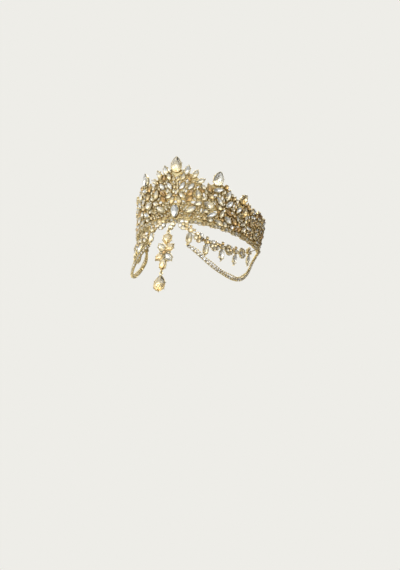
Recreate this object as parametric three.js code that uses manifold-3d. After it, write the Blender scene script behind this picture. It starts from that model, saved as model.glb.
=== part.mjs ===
// Bridal crown: an open oval wall of set stones with two garlands, two swag chains and a forehead pendant.
// Millimetres, +Z up, front towards -Y, origin at the middle of the head opening in the plane of the rim.
import * as THREE from 'three';
import { mergeVertices } from 'three/addons/utils/BufferGeometryUtils.js';
import Module from 'manifold-3d';

const wasm = await Module();
wasm.setup();

// Crown wall: an oval that leans outward as it rises and stays open at the back
const RIM_HALF_WIDTH = 73.5;
const RIM_HALF_DEPTH = 84;
const SIDE_LEAN = 0.09;
const FRONT_LEAN = 0.34;
const END_ANGLE = 96;
const PLATE_THICKNESS = 1.6;
const RIM_BAR = { low: -1.2, high: 2.4, inner: -0.5, outer: 2.8 };
const END_POST_WIDTH = 2;

// Cut stones: the girdle is the widest outline, the table the flat top, the culet the point at the back
const FACETS = 8;
const TABLE_SCALE = 0.56;
const PEAR_FULLEST = 0.858;
const CULET_DEPTH = 2.3;
const CROWN_BASE_HEIGHT = 0.9;
const CROWN_HEIGHT_PER_WIDTH = 0.08;
const GIRDLE_OUT = 4;

// Settings: tapered cups that reach into the plate and end just under the girdle
const CUP_LIP = 0.9;
const CUP_TAPER = 0.7;
const CUP_DEPTH = 3.3;
const CUP_RISE = -0.1;
const STONE_CLEARANCE = 0.25;
const OPEN_BACK_SCALE = 0.62;

// Drape: below the rim the strings stand forward as over a forehead and draw in as at the temples
const FRONT_BULGE = 11;
const SIDE_BULGE = -6;
const BULGE_DEPTH = 24;

// Rings of the pendant
const RING_RADIUS = 1.7;
const RING_WIRE = 0.55;
const RING_SIDES = 10;
const RING_WIRE_SIDES = 5;
const RING_PLAY = 0.3;

const GOLD = { color: 0xb89a5c, roughness: 0.32, metalness: 1 };
const CRYSTAL = { color: 0xe9e4d2, roughness: 0.06, metalness: 0 };

// Top edge of the pierced wall on the right half: degrees from the front and mm over the rim
const CREST = [
  { angle: 0, height: 57 },
  { angle: 5, height: 55 },
  { angle: 9, height: 52 },
  { angle: 14, height: 51 },
  { angle: 18, height: 48 },
  { angle: 24, height: 38 },
  { angle: 29, height: 43 },
  { angle: 35, height: 49 },
  { angle: 40, height: 46 },
  { angle: 45, height: 43 },
  { angle: 52, height: 36 },
  { angle: 58, height: 42 },
  { angle: 64, height: 37 },
  { angle: 70, height: 37 },
  { angle: 77, height: 38 },
  { angle: 86, height: 39 },
  { angle: 96, height: 34 },
];

// Main stones on the middle line; turn is the tip's lean from upright in degrees
const MIDDLE_STONES = [
  { name: 'crest_pear', shape: 'pear', angle: 0, height: 60.5, turn: 0, length: 18, width: 13, open: true },
  { name: 'centre_stone', shape: 'pear', angle: 0, height: 9.5, turn: 180, length: 15, width: 9.5 },
];

// Main stones of the right half, repeated on the left half as a mirror image
const SIDE_STONES = [
  { name: 'fan_inner', shape: 'navette', angle: 9.5, height: 54.5, turn: 12, length: 11, width: 6 },
  { name: 'fan_middle', shape: 'navette', angle: 16, height: 51, turn: 24, length: 11, width: 5.5 },
  { name: 'fan_outer', shape: 'navette', angle: 20.5, height: 44.5, turn: 58, length: 11, width: 5 },
  { name: 'side_pear', shape: 'pear', angle: 34.5, height: 52, turn: 4, length: 17, width: 12, open: true },
  { name: 'under_pear', shape: 'navette', angle: 35, height: 39.5, turn: 68, length: 13, width: 5 },
  { name: 'shoulder', shape: 'navette', angle: 27.8, height: 39, turn: -27, length: 11, width: 4.5 },
  { name: 'flower_top', shape: 'navette', angle: 43.8, height: 37, turn: 5, length: 13.5, width: 6.2 },
  { name: 'flower_front', shape: 'navette', angle: 37.2, height: 27.7, turn: -50, length: 13, width: 4.4 },
  { name: 'flower_back', shape: 'navette', angle: 45.4, height: 27.8, turn: 38, length: 12, width: 6 },
  { name: 'side_leaf', shape: 'navette', angle: 54.6, height: 26.5, turn: 25, length: 10, width: 5 },
  { name: 'side_drop', shape: 'pear', angle: 60.6, height: 27.5, turn: 10, length: 13, width: 7 },
  { name: 'crest_side', shape: 'pear', angle: 58.4, height: 42, turn: 29, length: 13, width: 9 },
  { name: 'cheek_pear', shape: 'pear', angle: 28.2, height: 20.2, turn: -70, length: 13, width: 9 },
  { name: 'cheek_leaf', shape: 'navette', angle: 31.3, height: 10.4, turn: 60, length: 13, width: 5 },
  { name: 'rim_leaf', shape: 'navette', angle: 38, height: 4, turn: -72, length: 13, width: 4.8 },
  { name: 'rim_petal', shape: 'navette', angle: 45.6, height: 10.4, turn: -61, length: 11.5, width: 6 },
  { name: 'fan_root', shape: 'navette', angle: 19.2, height: 29.6, turn: -20, length: 11, width: 6 },
  { name: 'front_leaf', shape: 'navette', angle: 13.5, height: 12, turn: 57, length: 15, width: 6 },
];

// Small stones soldered to the wall on the right half, mirrored on the left
const SMALL_STONES = [
  { shape: 'navette', angle: 6, height: 26.8, turn: -58, length: 8.5, width: 4 },
  { shape: 'navette', angle: 5.6, height: 37.4, turn: 34, length: 8, width: 4.2 },
  { shape: 'round', angle: 41.6, height: 46, turn: 0, length: 5.4, width: 5.4 },
  { shape: 'round', angle: 50.4, height: 4.6, turn: 0, length: 5, width: 5 },
  { shape: 'navette', angle: 68.6, height: 34, turn: 14, length: 9, width: 5 },
  { shape: 'navette', angle: 79.4, height: 25.6, turn: 24, length: 10, width: 5 },
];

// Openings cut through the wall: on the middle line, and on the right half with their mirror images
const MIDDLE_GAPS = [
  { angle: 0, height: 31.4, turn: 0, length: 6, width: 3.2 },
  { angle: 0, height: 20.8, turn: 0, length: 4, width: 5 },
  { angle: 0, height: 47, turn: 0, length: 4, width: 3 },
];
const SIDE_GAPS = [
  { angle: 2.8, height: 42.2, turn: 16, length: 5, width: 2.6 },
  { angle: 9.4, height: 43.4, turn: 8, length: 6, width: 3.4 },
  { angle: 8.8, height: 32.4, turn: 20, length: 6, width: 3 },
  { angle: 18.6, height: 38.4, turn: 40, length: 5, width: 2.8 },
  { angle: 7, height: 21, turn: -50, length: 5, width: 3 },
  { angle: 15.6, height: 21.4, turn: 80, length: 7, width: 4 },
  { angle: 9.6, height: 16, turn: 55, length: 5, width: 2 },
  { angle: 22.6, height: 14, turn: 10, length: 6, width: 2.6 },
  { angle: 20.4, height: 6.6, turn: 60, length: 5, width: 2.4 },
  { angle: 24, height: 31, turn: -20, length: 6, width: 3.4 },
  { angle: 34, height: 15.4, turn: 62, length: 8, width: 2.8 },
  { angle: 42.4, height: 20.4, turn: 30, length: 5, width: 2.8 },
  { angle: 33.2, height: 33.6, turn: 60, length: 6, width: 4 },
  { angle: 39.4, height: 33, turn: 10, length: 6, width: 3.4 },
  { angle: 33.6, height: 24.4, turn: -40, length: 5, width: 2.6 },
  { angle: 49.4, height: 20.6, turn: 30, length: 6, width: 2.8 },
  { angle: 50.6, height: 30, turn: 28, length: 6, width: 2.8 },
  { angle: 53.6, height: 34, turn: 60, length: 4.4, width: 2.6 },
  { angle: 57.4, height: 9, turn: 50, length: 5, width: 2.4 },
  { angle: 64.8, height: 19, turn: 20, length: 7, width: 3.4 },
  { angle: 66, height: 28.4, turn: 10, length: 6, width: 3 },
  { angle: 65.6, height: 7.4, turn: 60, length: 6, width: 3 },
  { angle: 75, height: 18, turn: 30, length: 6, width: 3 },
  { angle: 82, height: 31, turn: 60, length: 6, width: 2.8 },
  { angle: 83.4, height: 16.6, turn: 20, length: 7, width: 3.4 },
  { angle: 91, height: 30, turn: -20, length: 6, width: 3 },
];

// Garland units of the right half; the strings hang from the first unit under the rim to the end of the wall
const GARLAND_UNITS = [
  { kind: 'flower', angle: 10.8, height: -7 },
  { kind: 'link', angle: 19, height: -14.2, drop: true },
  { kind: 'flower', angle: 28, height: -20.8 },
  { kind: 'link', angle: 35.4, height: -23.4, drop: true },
  { kind: 'flower', angle: 42.6, height: -25 },
  { kind: 'link', angle: 50, height: -22.8, drop: true },
  { kind: 'flower', angle: 57, height: -22.4 },
  { kind: 'link', angle: 64, height: -20, drop: true },
  { kind: 'flower', angle: 72, height: -16.8 },
  { kind: 'link', angle: 79.6, height: -10.4, drop: true },
];
const GARLAND_END = { angle: 87, height: -2.4 };
const FLOWER = { petals: 5, tip: 6.4, notch: 3.4, top: 0.7, rise: 1.1 };
const FLOWER_BUD = { radius: 2.2, table: 1.3, rise: 2.2 };
const LINK_SIZE = 6.4;
const GARLAND_DROP = { length: 14.8, width: 7.4, hang: 9.6 };
const GARLAND_OUT = 3;
const STRING_RADIUS = 0.8;
const UNIT_DEPTH = 2;

// Swag chain of the right half: the points that it hangs through
const SWAG_POINTS = [
  { angle: 19, height: -32.8 },
  { angle: 27, height: -38.6 },
  { angle: 35, height: -44.6 },
  { angle: 44, height: -50.2 },
  { angle: 54, height: -53 },
  { angle: 62, height: -53.6 },
  { angle: 69, height: -51.8 },
  { angle: 76, height: -47 },
  { angle: 82, height: -39 },
  { angle: 87, height: -29 },
  { angle: 90.6, height: -19 },
  { angle: 93, height: -9.6 },
  { angle: 94.4, height: -2 },
];
const SWAG_STONE = { pitch: 4.6, radius: 2.5, neck: 1, flat: 0.75, sides: 8 };

// Forehead pendant, hanging straight down in front of the rim
const PENDANT_Y = -98;
const LUG_Y = -RIM_HALF_DEPTH - RIM_BAR.outer;
const LUG_Z = RIM_BAR.low - RING_RADIUS;
const TOP_RING_Z = LUG_Z - 2 * RING_RADIUS + 2 * RING_WIRE + RING_PLAY;
const LINK_STONES = [
  { y: -90.2, z: -6.4 },
  { y: -94.4, z: -12 },
];
const LINK_STONE_SIZE = 5.4;
const PENDANT_PIVOT_Z = -18;
const DROP_PIVOT_Z = -67.9;
const PENDANT_PEAR = { shape: 'pear', z: -28.4, turn: 180, length: 13, width: 10.5 };
const PENDANT_FLOWER_Z = -44.4;
const PENDANT_PETAL = { length: 12.4, width: 7.2, ring: 7.8, turns: [41, -41, 135, -135] };
const PENDANT_BUD = { size: 4.4, ring: 4.6, turns: [91, -91] };
const PENDANT_EYE = { size: 5.6, raise: 0.8 };
const PENDANT_NAVETTE = { shape: 'navette', z: -58.4, turn: 0, length: 15.4, width: 7.8 };
const DROP_PEAR = { shape: 'pear', z: -80.7, turn: 0, length: 18, width: 13 };
const SPINE = { width: 2.4, back: 3, front: 1.4 };

const RAD = Math.PI / 180;

// Small step, in degrees or mm, for directions along the wall
const STEP = 0.5;

// Point of the wall at an angle from the front, a height over the rim and a distance out of its back face
function wall(angle, height, out) {
  const halfWidth = RIM_HALF_WIDTH + SIDE_LEAN * height + out;
  const halfDepth = RIM_HALF_DEPTH + FRONT_LEAN * height + out;
  return new THREE.Vector3(halfWidth * Math.sin(angle * RAD), -halfDepth * Math.cos(angle * RAD), height);
}

// Point that a string below the rim hangs through
function drape(angle, height, out) {
  const share = THREE.MathUtils.clamp(-height / BULGE_DEPTH, 0, 1);
  const bulge = share * (2 - share);
  const halfWidth = RIM_HALF_WIDTH + SIDE_BULGE * bulge + out;
  const halfDepth = RIM_HALF_DEPTH + FRONT_BULGE * bulge + out;
  return new THREE.Vector3(halfWidth * Math.sin(angle * RAD), -halfDepth * Math.cos(angle * RAD), height);
}

// Frame whose Z faces outward and whose Y is the tip's direction
function facing(origin, east, north, turn) {
  const normal = east.clone().cross(north).normalize();
  const upright = normal.clone().cross(east);
  const frame = new THREE.Matrix4().makeBasis(east, upright, normal).setPosition(origin);
  return frame.multiply(new THREE.Matrix4().makeRotationZ(-turn * RAD));
}

function onWall(angle, height, out, turn) {
  const east = wall(angle + STEP, height, out).sub(wall(angle - STEP, height, out)).normalize();
  const north = wall(angle, height + STEP, out).sub(wall(angle, height - STEP, out)).normalize();
  return facing(wall(angle, height, out), east, north, turn);
}

function onDrape(angle, height) {
  const left = drape(angle - STEP, height, GARLAND_OUT);
  const right = drape(angle + STEP, height, GARLAND_OUT);
  const east = right.sub(left).normalize();
  return facing(drape(angle, height, GARLAND_OUT), east, new THREE.Vector3(0, 0, 1), 0);
}

function onPendant(x, z, turn) {
  const origin = new THREE.Vector3(x, PENDANT_Y, z);
  return facing(origin, new THREE.Vector3(1, 0, 0), new THREE.Vector3(0, 0, 1), turn);
}

// Outline of a cut stone, with its tip towards +Y
function outline(shape, length, width) {
  const points = [];
  for (let i = 0; i < FACETS; i += 1) {
    const turn = (i / FACETS) * 2 * Math.PI;
    const y = (length / 2) * Math.cos(turn);
    let x = (width / 2) * Math.sin(turn);
    if (shape === 'pear') {
      x *= Math.sqrt(Math.abs(Math.sin(turn / 2))) / PEAR_FULLEST;
    }
    if (shape === 'navette') {
      const arc = (length * length + width * width) / (4 * width);
      x = Math.sign(x) * (Math.sqrt(arc * arc - y * y) - arc + width / 2);
    }
    points.push(new THREE.Vector2(x, y));
  }
  return points;
}

function ringAt(points, scale, z) {
  return points.map((p) => new THREE.Vector3(p.x * scale, p.y * scale, z));
}

// Skin over a row of rings with equal counts; a ring of one point is a tip, and open ends are capped
function loft(rings) {
  const positions = [];
  const starts = [];
  for (const ring of rings) {
    starts.push(positions.length / 3);
    for (const p of ring) {
      positions.push(p.x, p.y, p.z);
    }
  }
  const index = [];
  for (let r = 0; r + 1 < rings.length; r += 1) {
    const count = Math.max(rings[r].length, rings[r + 1].length);
    for (let i = 0; i < count; i += 1) {
      const next = (i + 1) % count;
      const a = starts[r] + (i % rings[r].length);
      const b = starts[r] + (next % rings[r].length);
      const c = starts[r + 1] + (next % rings[r + 1].length);
      const d = starts[r + 1] + (i % rings[r + 1].length);
      if (a !== b) {
        index.push(a, b, c);
      }
      if (c !== d) {
        index.push(a, c, d);
      }
    }
  }
  const last = rings.length - 1;
  for (let i = 1; i + 1 < rings[0].length; i += 1) {
    index.push(starts[0], starts[0] + i + 1, starts[0] + i);
  }
  for (let i = 1; i + 1 < rings[last].length; i += 1) {
    index.push(starts[last], starts[last] + i, starts[last] + i + 1);
  }
  const geometry = new THREE.BufferGeometry();
  geometry.setAttribute('position', new THREE.Float32BufferAttribute(positions, 3));
  geometry.setIndex(index);
  return geometry;
}

// Closed solid of a geometry, turned so that its faces point out
function solid(geometry) {
  const bare = geometry.clone();
  bare.deleteAttribute('normal');
  bare.deleteAttribute('uv');
  const merged = mergeVertices(bare, 1e-4);
  const vertProperties = new Float32Array(merged.attributes.position.array);
  const triVerts = new Uint32Array(merged.index.array);
  const corner = (i) => new THREE.Vector3().fromArray(vertProperties, triVerts[i] * 3);
  let volume = 0;
  for (let i = 0; i < triVerts.length; i += 3) {
    volume += corner(i).dot(corner(i + 1).cross(corner(i + 2)));
  }
  if (volume < 0) {
    for (let i = 0; i < triVerts.length; i += 3) {
      [triVerts[i], triVerts[i + 1]] = [triVerts[i + 1], triVerts[i]];
    }
  }
  return new wasm.Manifold(new wasm.Mesh({ numProp: 3, vertProperties, triVerts }));
}

function fuse(solids) {
  return solids.reduce((whole, piece) => whole.add(piece));
}

// Solid of a geometry carried to a frame
function placed(geometry, frame) {
  return solid(geometry.clone().applyMatrix4(frame));
}

// Cut stone with its girdle at Z 0 and its table facing +Z
function cutStone({ shape, length, width }) {
  const girdle = outline(shape, length, width);
  const crownHeight = CROWN_BASE_HEIGHT + CROWN_HEIGHT_PER_WIDTH * width;
  const culet = [new THREE.Vector3(0, 0, -CULET_DEPTH)];
  return loft([culet, ringAt(girdle, 1, 0), ringAt(girdle, TABLE_SCALE, crownHeight)]);
}

// Room that a stone takes in its setting, open to the front
function stoneRoom({ shape, length, width }) {
  const reach = 6;
  const girdle = outline(shape, length + 2 * STONE_CLEARANCE, width + 2 * STONE_CLEARANCE);
  const culet = [new THREE.Vector3(0, 0, -CULET_DEPTH - 2 * STONE_CLEARANCE)];
  return loft([culet, ringAt(girdle, 1, 0), ringAt(girdle, 1, reach)]);
}

// Way through the back of an open setting
function backOpening({ shape, length, width }) {
  const reach = 9;
  const girdle = outline(shape, length, width);
  return loft([ringAt(girdle, OPEN_BACK_SCALE, -reach), ringAt(girdle, OPEN_BACK_SCALE, 0)]);
}

function setting({ shape, length, width }) {
  const lip = outline(shape, length + 2 * CUP_LIP, width + 2 * CUP_LIP);
  return loft([ringAt(lip, CUP_TAPER, -CUP_DEPTH), ringAt(lip, 1, CUP_RISE)]);
}

// Stone and setting in one, for stones soldered to what carries them
function setStone({ shape, length, width }) {
  const girdle = outline(shape, length, width);
  const crownHeight = CROWN_BASE_HEIGHT + CROWN_HEIGHT_PER_WIDTH * width;
  const foot = ringAt(girdle, CUP_TAPER, -UNIT_DEPTH);
  return loft([foot, ringAt(girdle, 1, 0), ringAt(girdle, TABLE_SCALE, crownHeight)]);
}

// Straight bar of square section between two points
function bar(from, to, width) {
  const along = to.clone().sub(from).normalize();
  const side = new THREE.Vector3(0, 0, 1).cross(along);
  if (side.length() < 0.1) {
    side.set(1, 0, 0);
  }
  side.normalize();
  const up = along.clone().cross(side);
  const section = (p) => [[-1, -1], [1, -1], [1, 1], [-1, 1]].map(([u, v]) =>
    p.clone().addScaledVector(side, (u * width) / 2).addScaledVector(up, (v * width) / 2));
  return solid(loft([section(from), section(to)]));
}

// Link ring: its hole looks along X, or along Y when it is turned across
function linkRing(centre, across) {
  const ring = new THREE.TorusGeometry(RING_RADIUS, RING_WIRE, RING_WIRE_SIDES, RING_SIDES);
  const turn = new THREE.Matrix4();
  if (across) {
    turn.makeRotationX(Math.PI / 2);
  } else {
    turn.makeRotationY(Math.PI / 2);
  }
  return placed(ring, turn.setPosition(centre));
}

function mirrored(rows) {
  return rows.map((row) => ({ ...row, angle: -row.angle, turn: -row.turn }));
}

function crestHeight(angle) {
  const from = Math.abs(angle);
  const next = Math.max(1, CREST.findIndex((row) => row.angle >= from));
  const [low, high] = [CREST[next - 1], CREST[next]];
  return THREE.MathUtils.mapLinear(from, low.angle, high.angle, low.height, high.height);
}

// Band that follows the wall through the given angles, with its corners worked out for each angle
function wallBand(angles, corners) {
  const section = (angle) => corners(angle).map(({ height, out }) => wall(angle, height, out));
  return solid(loft(angles.map(section)));
}

function box(low, high, inner, outer) {
  return [
    { height: low, out: inner },
    { height: low, out: outer },
    { height: high, out: outer },
    { height: high, out: inner },
  ];
}

// Opening through the wall, four sided
function wallGap({ angle, height, turn, length, width }) {
  const reach = 5;
  const corners = [
    new THREE.Vector2(0, length / 2),
    new THREE.Vector2(width / 2, 0),
    new THREE.Vector2(0, -length / 2),
    new THREE.Vector2(-width / 2, 0),
  ];
  const gap = loft([ringAt(corners, 1, -reach), ringAt(corners, 1, reach)]);
  return placed(gap, onWall(angle, height, PLATE_THICKNESS / 2, turn));
}

function sideRows(rows) {
  return [...rows, ...mirrored(rows)];
}

const mainStones = [
  ...MIDDLE_STONES,
  ...SIDE_STONES.map((stone) => ({ ...stone, name: `${stone.name}_right` })),
  ...mirrored(SIDE_STONES).map((stone) => ({ ...stone, name: `${stone.name}_left` })),
];

// Pierced wall with its rim bar, end posts, settings and small stones, all soldered together
function crownFrame() {
  const angles = [...CREST.slice(1).map((row) => -row.angle).reverse(), ...CREST.map((row) => row.angle)];
  const plate = wallBand(angles, (angle) => box(0, crestHeight(angle), 0, PLATE_THICKNESS));
  const gaps = [...MIDDLE_GAPS, ...sideRows(SIDE_GAPS)].map(wallGap);
  const rim = wallBand(angles, () => box(RIM_BAR.low, RIM_BAR.high, RIM_BAR.inner, RIM_BAR.outer));
  const posts = [1, -1].map((side) => {
    const edges = [side * (END_ANGLE - END_POST_WIDTH), side * END_ANGLE];
    return wallBand(edges, () => box(0, crestHeight(END_ANGLE), RIM_BAR.inner, RIM_BAR.outer));
  });
  const seats = mainStones.map((stone) => onWall(stone.angle, stone.height, GIRDLE_OUT, stone.turn));
  const cups = mainStones.map((stone, i) => placed(setting(stone), seats[i]));
  const rooms = mainStones.map((stone, i) => placed(stoneRoom(stone), seats[i]));
  const ways = mainStones
    .map((stone, i) => ({ stone, seat: seats[i] }))
    .filter(({ stone }) => stone.open)
    .map(({ stone, seat }) => placed(backOpening(stone), seat));
  const small = sideRows(SMALL_STONES).map((stone) =>
    placed(setStone(stone), onWall(stone.angle, stone.height, PLATE_THICKNESS + UNIT_DEPTH / 2, stone.turn)));
  const pierced = plate.subtract(fuse(gaps));
  const lug = linkRing(new THREE.Vector3(0, LUG_Y, LUG_Z), false);
  return fuse([pierced, rim, ...posts, ...cups, ...small, lug]).subtract(fuse([...rooms, ...ways]));
}

// Star shaped flower of pointed petals round a bud with a table
function starFlower() {
  const corners = 2 * FLOWER.petals;
  const ring = (tip, notch, z) => {
    const points = [];
    for (let i = 0; i < corners; i += 1) {
      const turn = (i * 2 * Math.PI) / corners + Math.PI;
      const reach = i % 2 === 0 ? tip : notch;
      points.push(new THREE.Vector3(reach * Math.sin(turn), reach * Math.cos(turn), z));
    }
    return points;
  };
  return loft([
    [new THREE.Vector3(0, 0, -UNIT_DEPTH)],
    ring(FLOWER.tip * CUP_TAPER, FLOWER.notch * CUP_TAPER, -UNIT_DEPTH),
    ring(FLOWER.tip, FLOWER.notch, 0),
    ring(FLOWER.tip * FLOWER.top, FLOWER.notch * FLOWER.top, FLOWER.rise),
    ring(FLOWER_BUD.radius, FLOWER_BUD.radius, FLOWER.rise),
    ring(FLOWER_BUD.table, FLOWER_BUD.table, FLOWER_BUD.rise),
  ]);
}

// Thread that carries the units of a garland, square in section
function garlandThread(side) {
  const rings = [...GARLAND_UNITS, GARLAND_END].map(({ angle, height }) => {
    const inner = drape(side * angle, height, GARLAND_OUT - 2 * STRING_RADIUS);
    const outer = drape(side * angle, height, GARLAND_OUT);
    const up = new THREE.Vector3(0, 0, STRING_RADIUS);
    return [inner.clone().sub(up), outer.clone().sub(up), outer.clone().add(up), inner.clone().add(up)];
  });
  return solid(loft(rings));
}

// String of stone flowers and links with navette drops; side is 1 on the right and -1 on the left
function garland(side) {
  const link = setStone({ shape: 'round', length: LINK_SIZE, width: LINK_SIZE });
  const navette = setStone({ ...GARLAND_DROP, shape: 'navette' });
  const pieces = [garlandThread(side)];
  for (const { kind, angle, height, drop } of GARLAND_UNITS) {
    const seat = onDrape(side * angle, height);
    if (kind === 'flower') {
      pieces.push(placed(starFlower(), seat));
    } else {
      pieces.push(placed(link, seat));
    }
    if (drop) {
      const below = new THREE.Matrix4().makeTranslation(0, -GARLAND_DROP.hang, 0);
      pieces.push(placed(navette, seat.clone().multiply(below)));
    }
  }
  return fuse(pieces);
}

// Chain of set stones: one run of wide and narrow sections along a hanging curve
function swagChain(side) {
  const points = SWAG_POINTS.map(({ angle, height }) => drape(side * angle, height, GARLAND_OUT));
  const curve = new THREE.CatmullRomCurve3(points, false, 'centripetal');
  const count = Math.round(curve.getLength() / SWAG_STONE.pitch);
  const rings = [];
  const section = (share, radius) => {
    const p = curve.getPointAt(share);
    const along = curve.getTangentAt(share);
    const outward = new THREE.Vector3(p.x, p.y, 0).normalize();
    const across = along.clone().cross(outward).normalize();
    const normal = across.clone().cross(along);
    const ring = [];
    for (let i = 0; i < SWAG_STONE.sides; i += 1) {
      const turn = ((i + 0.5) / SWAG_STONE.sides) * 2 * Math.PI;
      ring.push(p.clone()
        .addScaledVector(across, radius * Math.cos(turn))
        .addScaledVector(normal, radius * SWAG_STONE.flat * Math.sin(turn)));
    }
    rings.push(ring);
  };
  for (let i = 0; i < count; i += 1) {
    section(i / count, SWAG_STONE.neck);
    section((i + 0.5) / count, SWAG_STONE.radius);
  }
  section(1, SWAG_STONE.neck);
  return solid(loft(rings));
}

// Two stone links that lead from the rim to the pendant's ring
function pendantLinks() {
  const ringZ = PENDANT_PIVOT_Z + RING_PLAY;
  const lower = new THREE.Vector3(0, PENDANT_Y, ringZ);
  const stones = LINK_STONES.map(({ y, z }) => new THREE.Vector3(0, y, z));
  const slope = stones[0].clone().sub(stones[1]).normalize();
  const upper = new THREE.Vector3(0, LUG_Y, TOP_RING_Z);
  const east = new THREE.Vector3(1, 0, 0);
  const set = setStone({ shape: 'round', length: LINK_STONE_SIZE, width: LINK_STONE_SIZE });
  const gems = stones.map((p) => placed(set, facing(p, east, slope, 0)));
  const top = linkRing(upper, true);
  const low = linkRing(lower, false);
  const neck = bar(upper.clone().add(new THREE.Vector3(0, 0, -RING_RADIUS)), stones[0], 2 * RING_WIRE);
  const waist = bar(stones[0], stones[1], 2 * RING_WIRE);
  const foot = bar(stones[1], lower.clone().add(new THREE.Vector3(0, 0, RING_RADIUS)), 2 * RING_WIRE);
  return fuse([...gems, top, low, neck, waist, foot]);
}

// Place in the pendant's flower, on a ring round its middle and turned outward
function roundFlower(ring, turn) {
  const x = ring * Math.sin(turn * RAD);
  const z = PENDANT_FLOWER_Z + ring * Math.cos(turn * RAD);
  return onPendant(x, z, turn);
}

// Pear, flower and navette of the pendant on one spine, with a ring at each end
function pendantSetting() {
  const pearSeat = onPendant(0, PENDANT_PEAR.z, PENDANT_PEAR.turn);
  const navetteSeat = onPendant(0, PENDANT_NAVETTE.z, PENDANT_NAVETTE.turn);
  const pieces = [placed(setting(PENDANT_PEAR), pearSeat), placed(setting(PENDANT_NAVETTE), navetteSeat)];
  const petal = setStone({ shape: 'navette', length: PENDANT_PETAL.length, width: PENDANT_PETAL.width });
  for (const turn of PENDANT_PETAL.turns) {
    pieces.push(placed(petal, roundFlower(PENDANT_PETAL.ring, turn)));
  }
  const bud = setStone({ shape: 'round', length: PENDANT_BUD.size, width: PENDANT_BUD.size });
  for (const turn of PENDANT_BUD.turns) {
    pieces.push(placed(bud, roundFlower(PENDANT_BUD.ring, turn)));
  }
  const eye = setStone({ shape: 'round', length: PENDANT_EYE.size, width: PENDANT_EYE.size });
  const raised = new THREE.Matrix4().makeTranslation(0, 0, PENDANT_EYE.raise);
  pieces.push(placed(eye, onPendant(0, PENDANT_FLOWER_Z, 0).multiply(raised)));
  const topRing = new THREE.Vector3(0, PENDANT_Y, PENDANT_PIVOT_Z - RING_RADIUS);
  const lowRing = new THREE.Vector3(0, PENDANT_Y, DROP_PIVOT_Z + RING_PLAY);
  pieces.push(linkRing(topRing, true), linkRing(lowRing, false));
  const spineMiddle = PENDANT_Y + (SPINE.back + SPINE.front) / 2;
  const spineTop = new THREE.Vector3(0, spineMiddle, PENDANT_PEAR.z);
  const spineLow = new THREE.Vector3(0, spineMiddle, PENDANT_NAVETTE.z);
  pieces.push(bar(spineTop, spineLow, SPINE.width));
  const rooms = [placed(stoneRoom(PENDANT_PEAR), pearSeat), placed(stoneRoom(PENDANT_NAVETTE), navetteSeat)];
  return fuse(pieces).subtract(fuse(rooms));
}

function dropSetting() {
  const seat = onPendant(0, DROP_PEAR.z, DROP_PEAR.turn);
  const ring = linkRing(new THREE.Vector3(0, PENDANT_Y, DROP_PIVOT_Z - RING_RADIUS), true);
  return fuse([placed(setting(DROP_PEAR), seat), ring]).subtract(placed(stoneRoom(DROP_PEAR), seat));
}

// Named mesh of a solid
function meshOf(name, body, look) {
  const { vertProperties, triVerts } = body.getMesh();
  const geometry = new THREE.BufferGeometry();
  geometry.setAttribute('position', new THREE.Float32BufferAttribute(vertProperties, 3));
  geometry.setIndex(new THREE.Uint32BufferAttribute(triVerts, 1));
  geometry.computeVertexNormals();
  const mesh = new THREE.Mesh(geometry, new THREE.MeshStandardMaterial({ ...look, flatShading: true }));
  mesh.name = name;
  return mesh;
}

const crown = new THREE.Group();
crown.add(meshOf('crown_frame', crownFrame(), GOLD));
for (const stone of mainStones) {
  const seat = onWall(stone.angle, stone.height, GIRDLE_OUT, stone.turn);
  crown.add(meshOf(stone.name, placed(cutStone(stone), seat), CRYSTAL));
}
for (const [suffix, side] of [['right', 1], ['left', -1]]) {
  crown.add(meshOf(`garland_${suffix}`, garland(side), GOLD));
  crown.add(meshOf(`swag_chain_${suffix}`, swagChain(side), GOLD));
}
crown.add(meshOf('pendant_links', pendantLinks(), GOLD));
crown.add(meshOf('pendant_setting', pendantSetting(), GOLD));
crown.add(meshOf('drop_setting', dropSetting(), GOLD));
const pendantStones = [
  { ...PENDANT_PEAR, name: 'pendant_pear' },
  { ...PENDANT_NAVETTE, name: 'pendant_navette' },
  { ...DROP_PEAR, name: 'drop_pear' },
];
for (const stone of pendantStones) {
  crown.add(meshOf(stone.name, placed(cutStone(stone), onPendant(0, stone.z, stone.turn)), CRYSTAL));
}

export default crown;
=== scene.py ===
"""Looks of the bridal crown: pierced gold wall, claw set stones, garlands, swag chains and pendant."""

import math
import random

import bpy
import numpy as np
from mathutils import Matrix, Vector, geometry


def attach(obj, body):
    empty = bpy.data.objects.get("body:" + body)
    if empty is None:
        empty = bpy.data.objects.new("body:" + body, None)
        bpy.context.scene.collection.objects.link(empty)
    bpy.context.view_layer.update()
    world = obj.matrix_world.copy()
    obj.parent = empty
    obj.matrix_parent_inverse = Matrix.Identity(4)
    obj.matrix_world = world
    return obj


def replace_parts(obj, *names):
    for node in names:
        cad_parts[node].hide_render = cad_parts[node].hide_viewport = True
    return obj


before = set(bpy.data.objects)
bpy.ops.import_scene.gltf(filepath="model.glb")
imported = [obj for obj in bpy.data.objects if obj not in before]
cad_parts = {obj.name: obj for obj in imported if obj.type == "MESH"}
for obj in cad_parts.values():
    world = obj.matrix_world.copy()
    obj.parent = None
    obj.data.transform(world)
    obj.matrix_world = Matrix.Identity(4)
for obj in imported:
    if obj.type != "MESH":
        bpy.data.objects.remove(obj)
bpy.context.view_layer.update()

# Sizes are in millimetres and angles in degrees, as in the part's source
MM = 0.001
RAD = math.pi / 180
X_AXIS, Y_AXIS, Z_AXIS = np.eye(3)
SEED = 11

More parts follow.
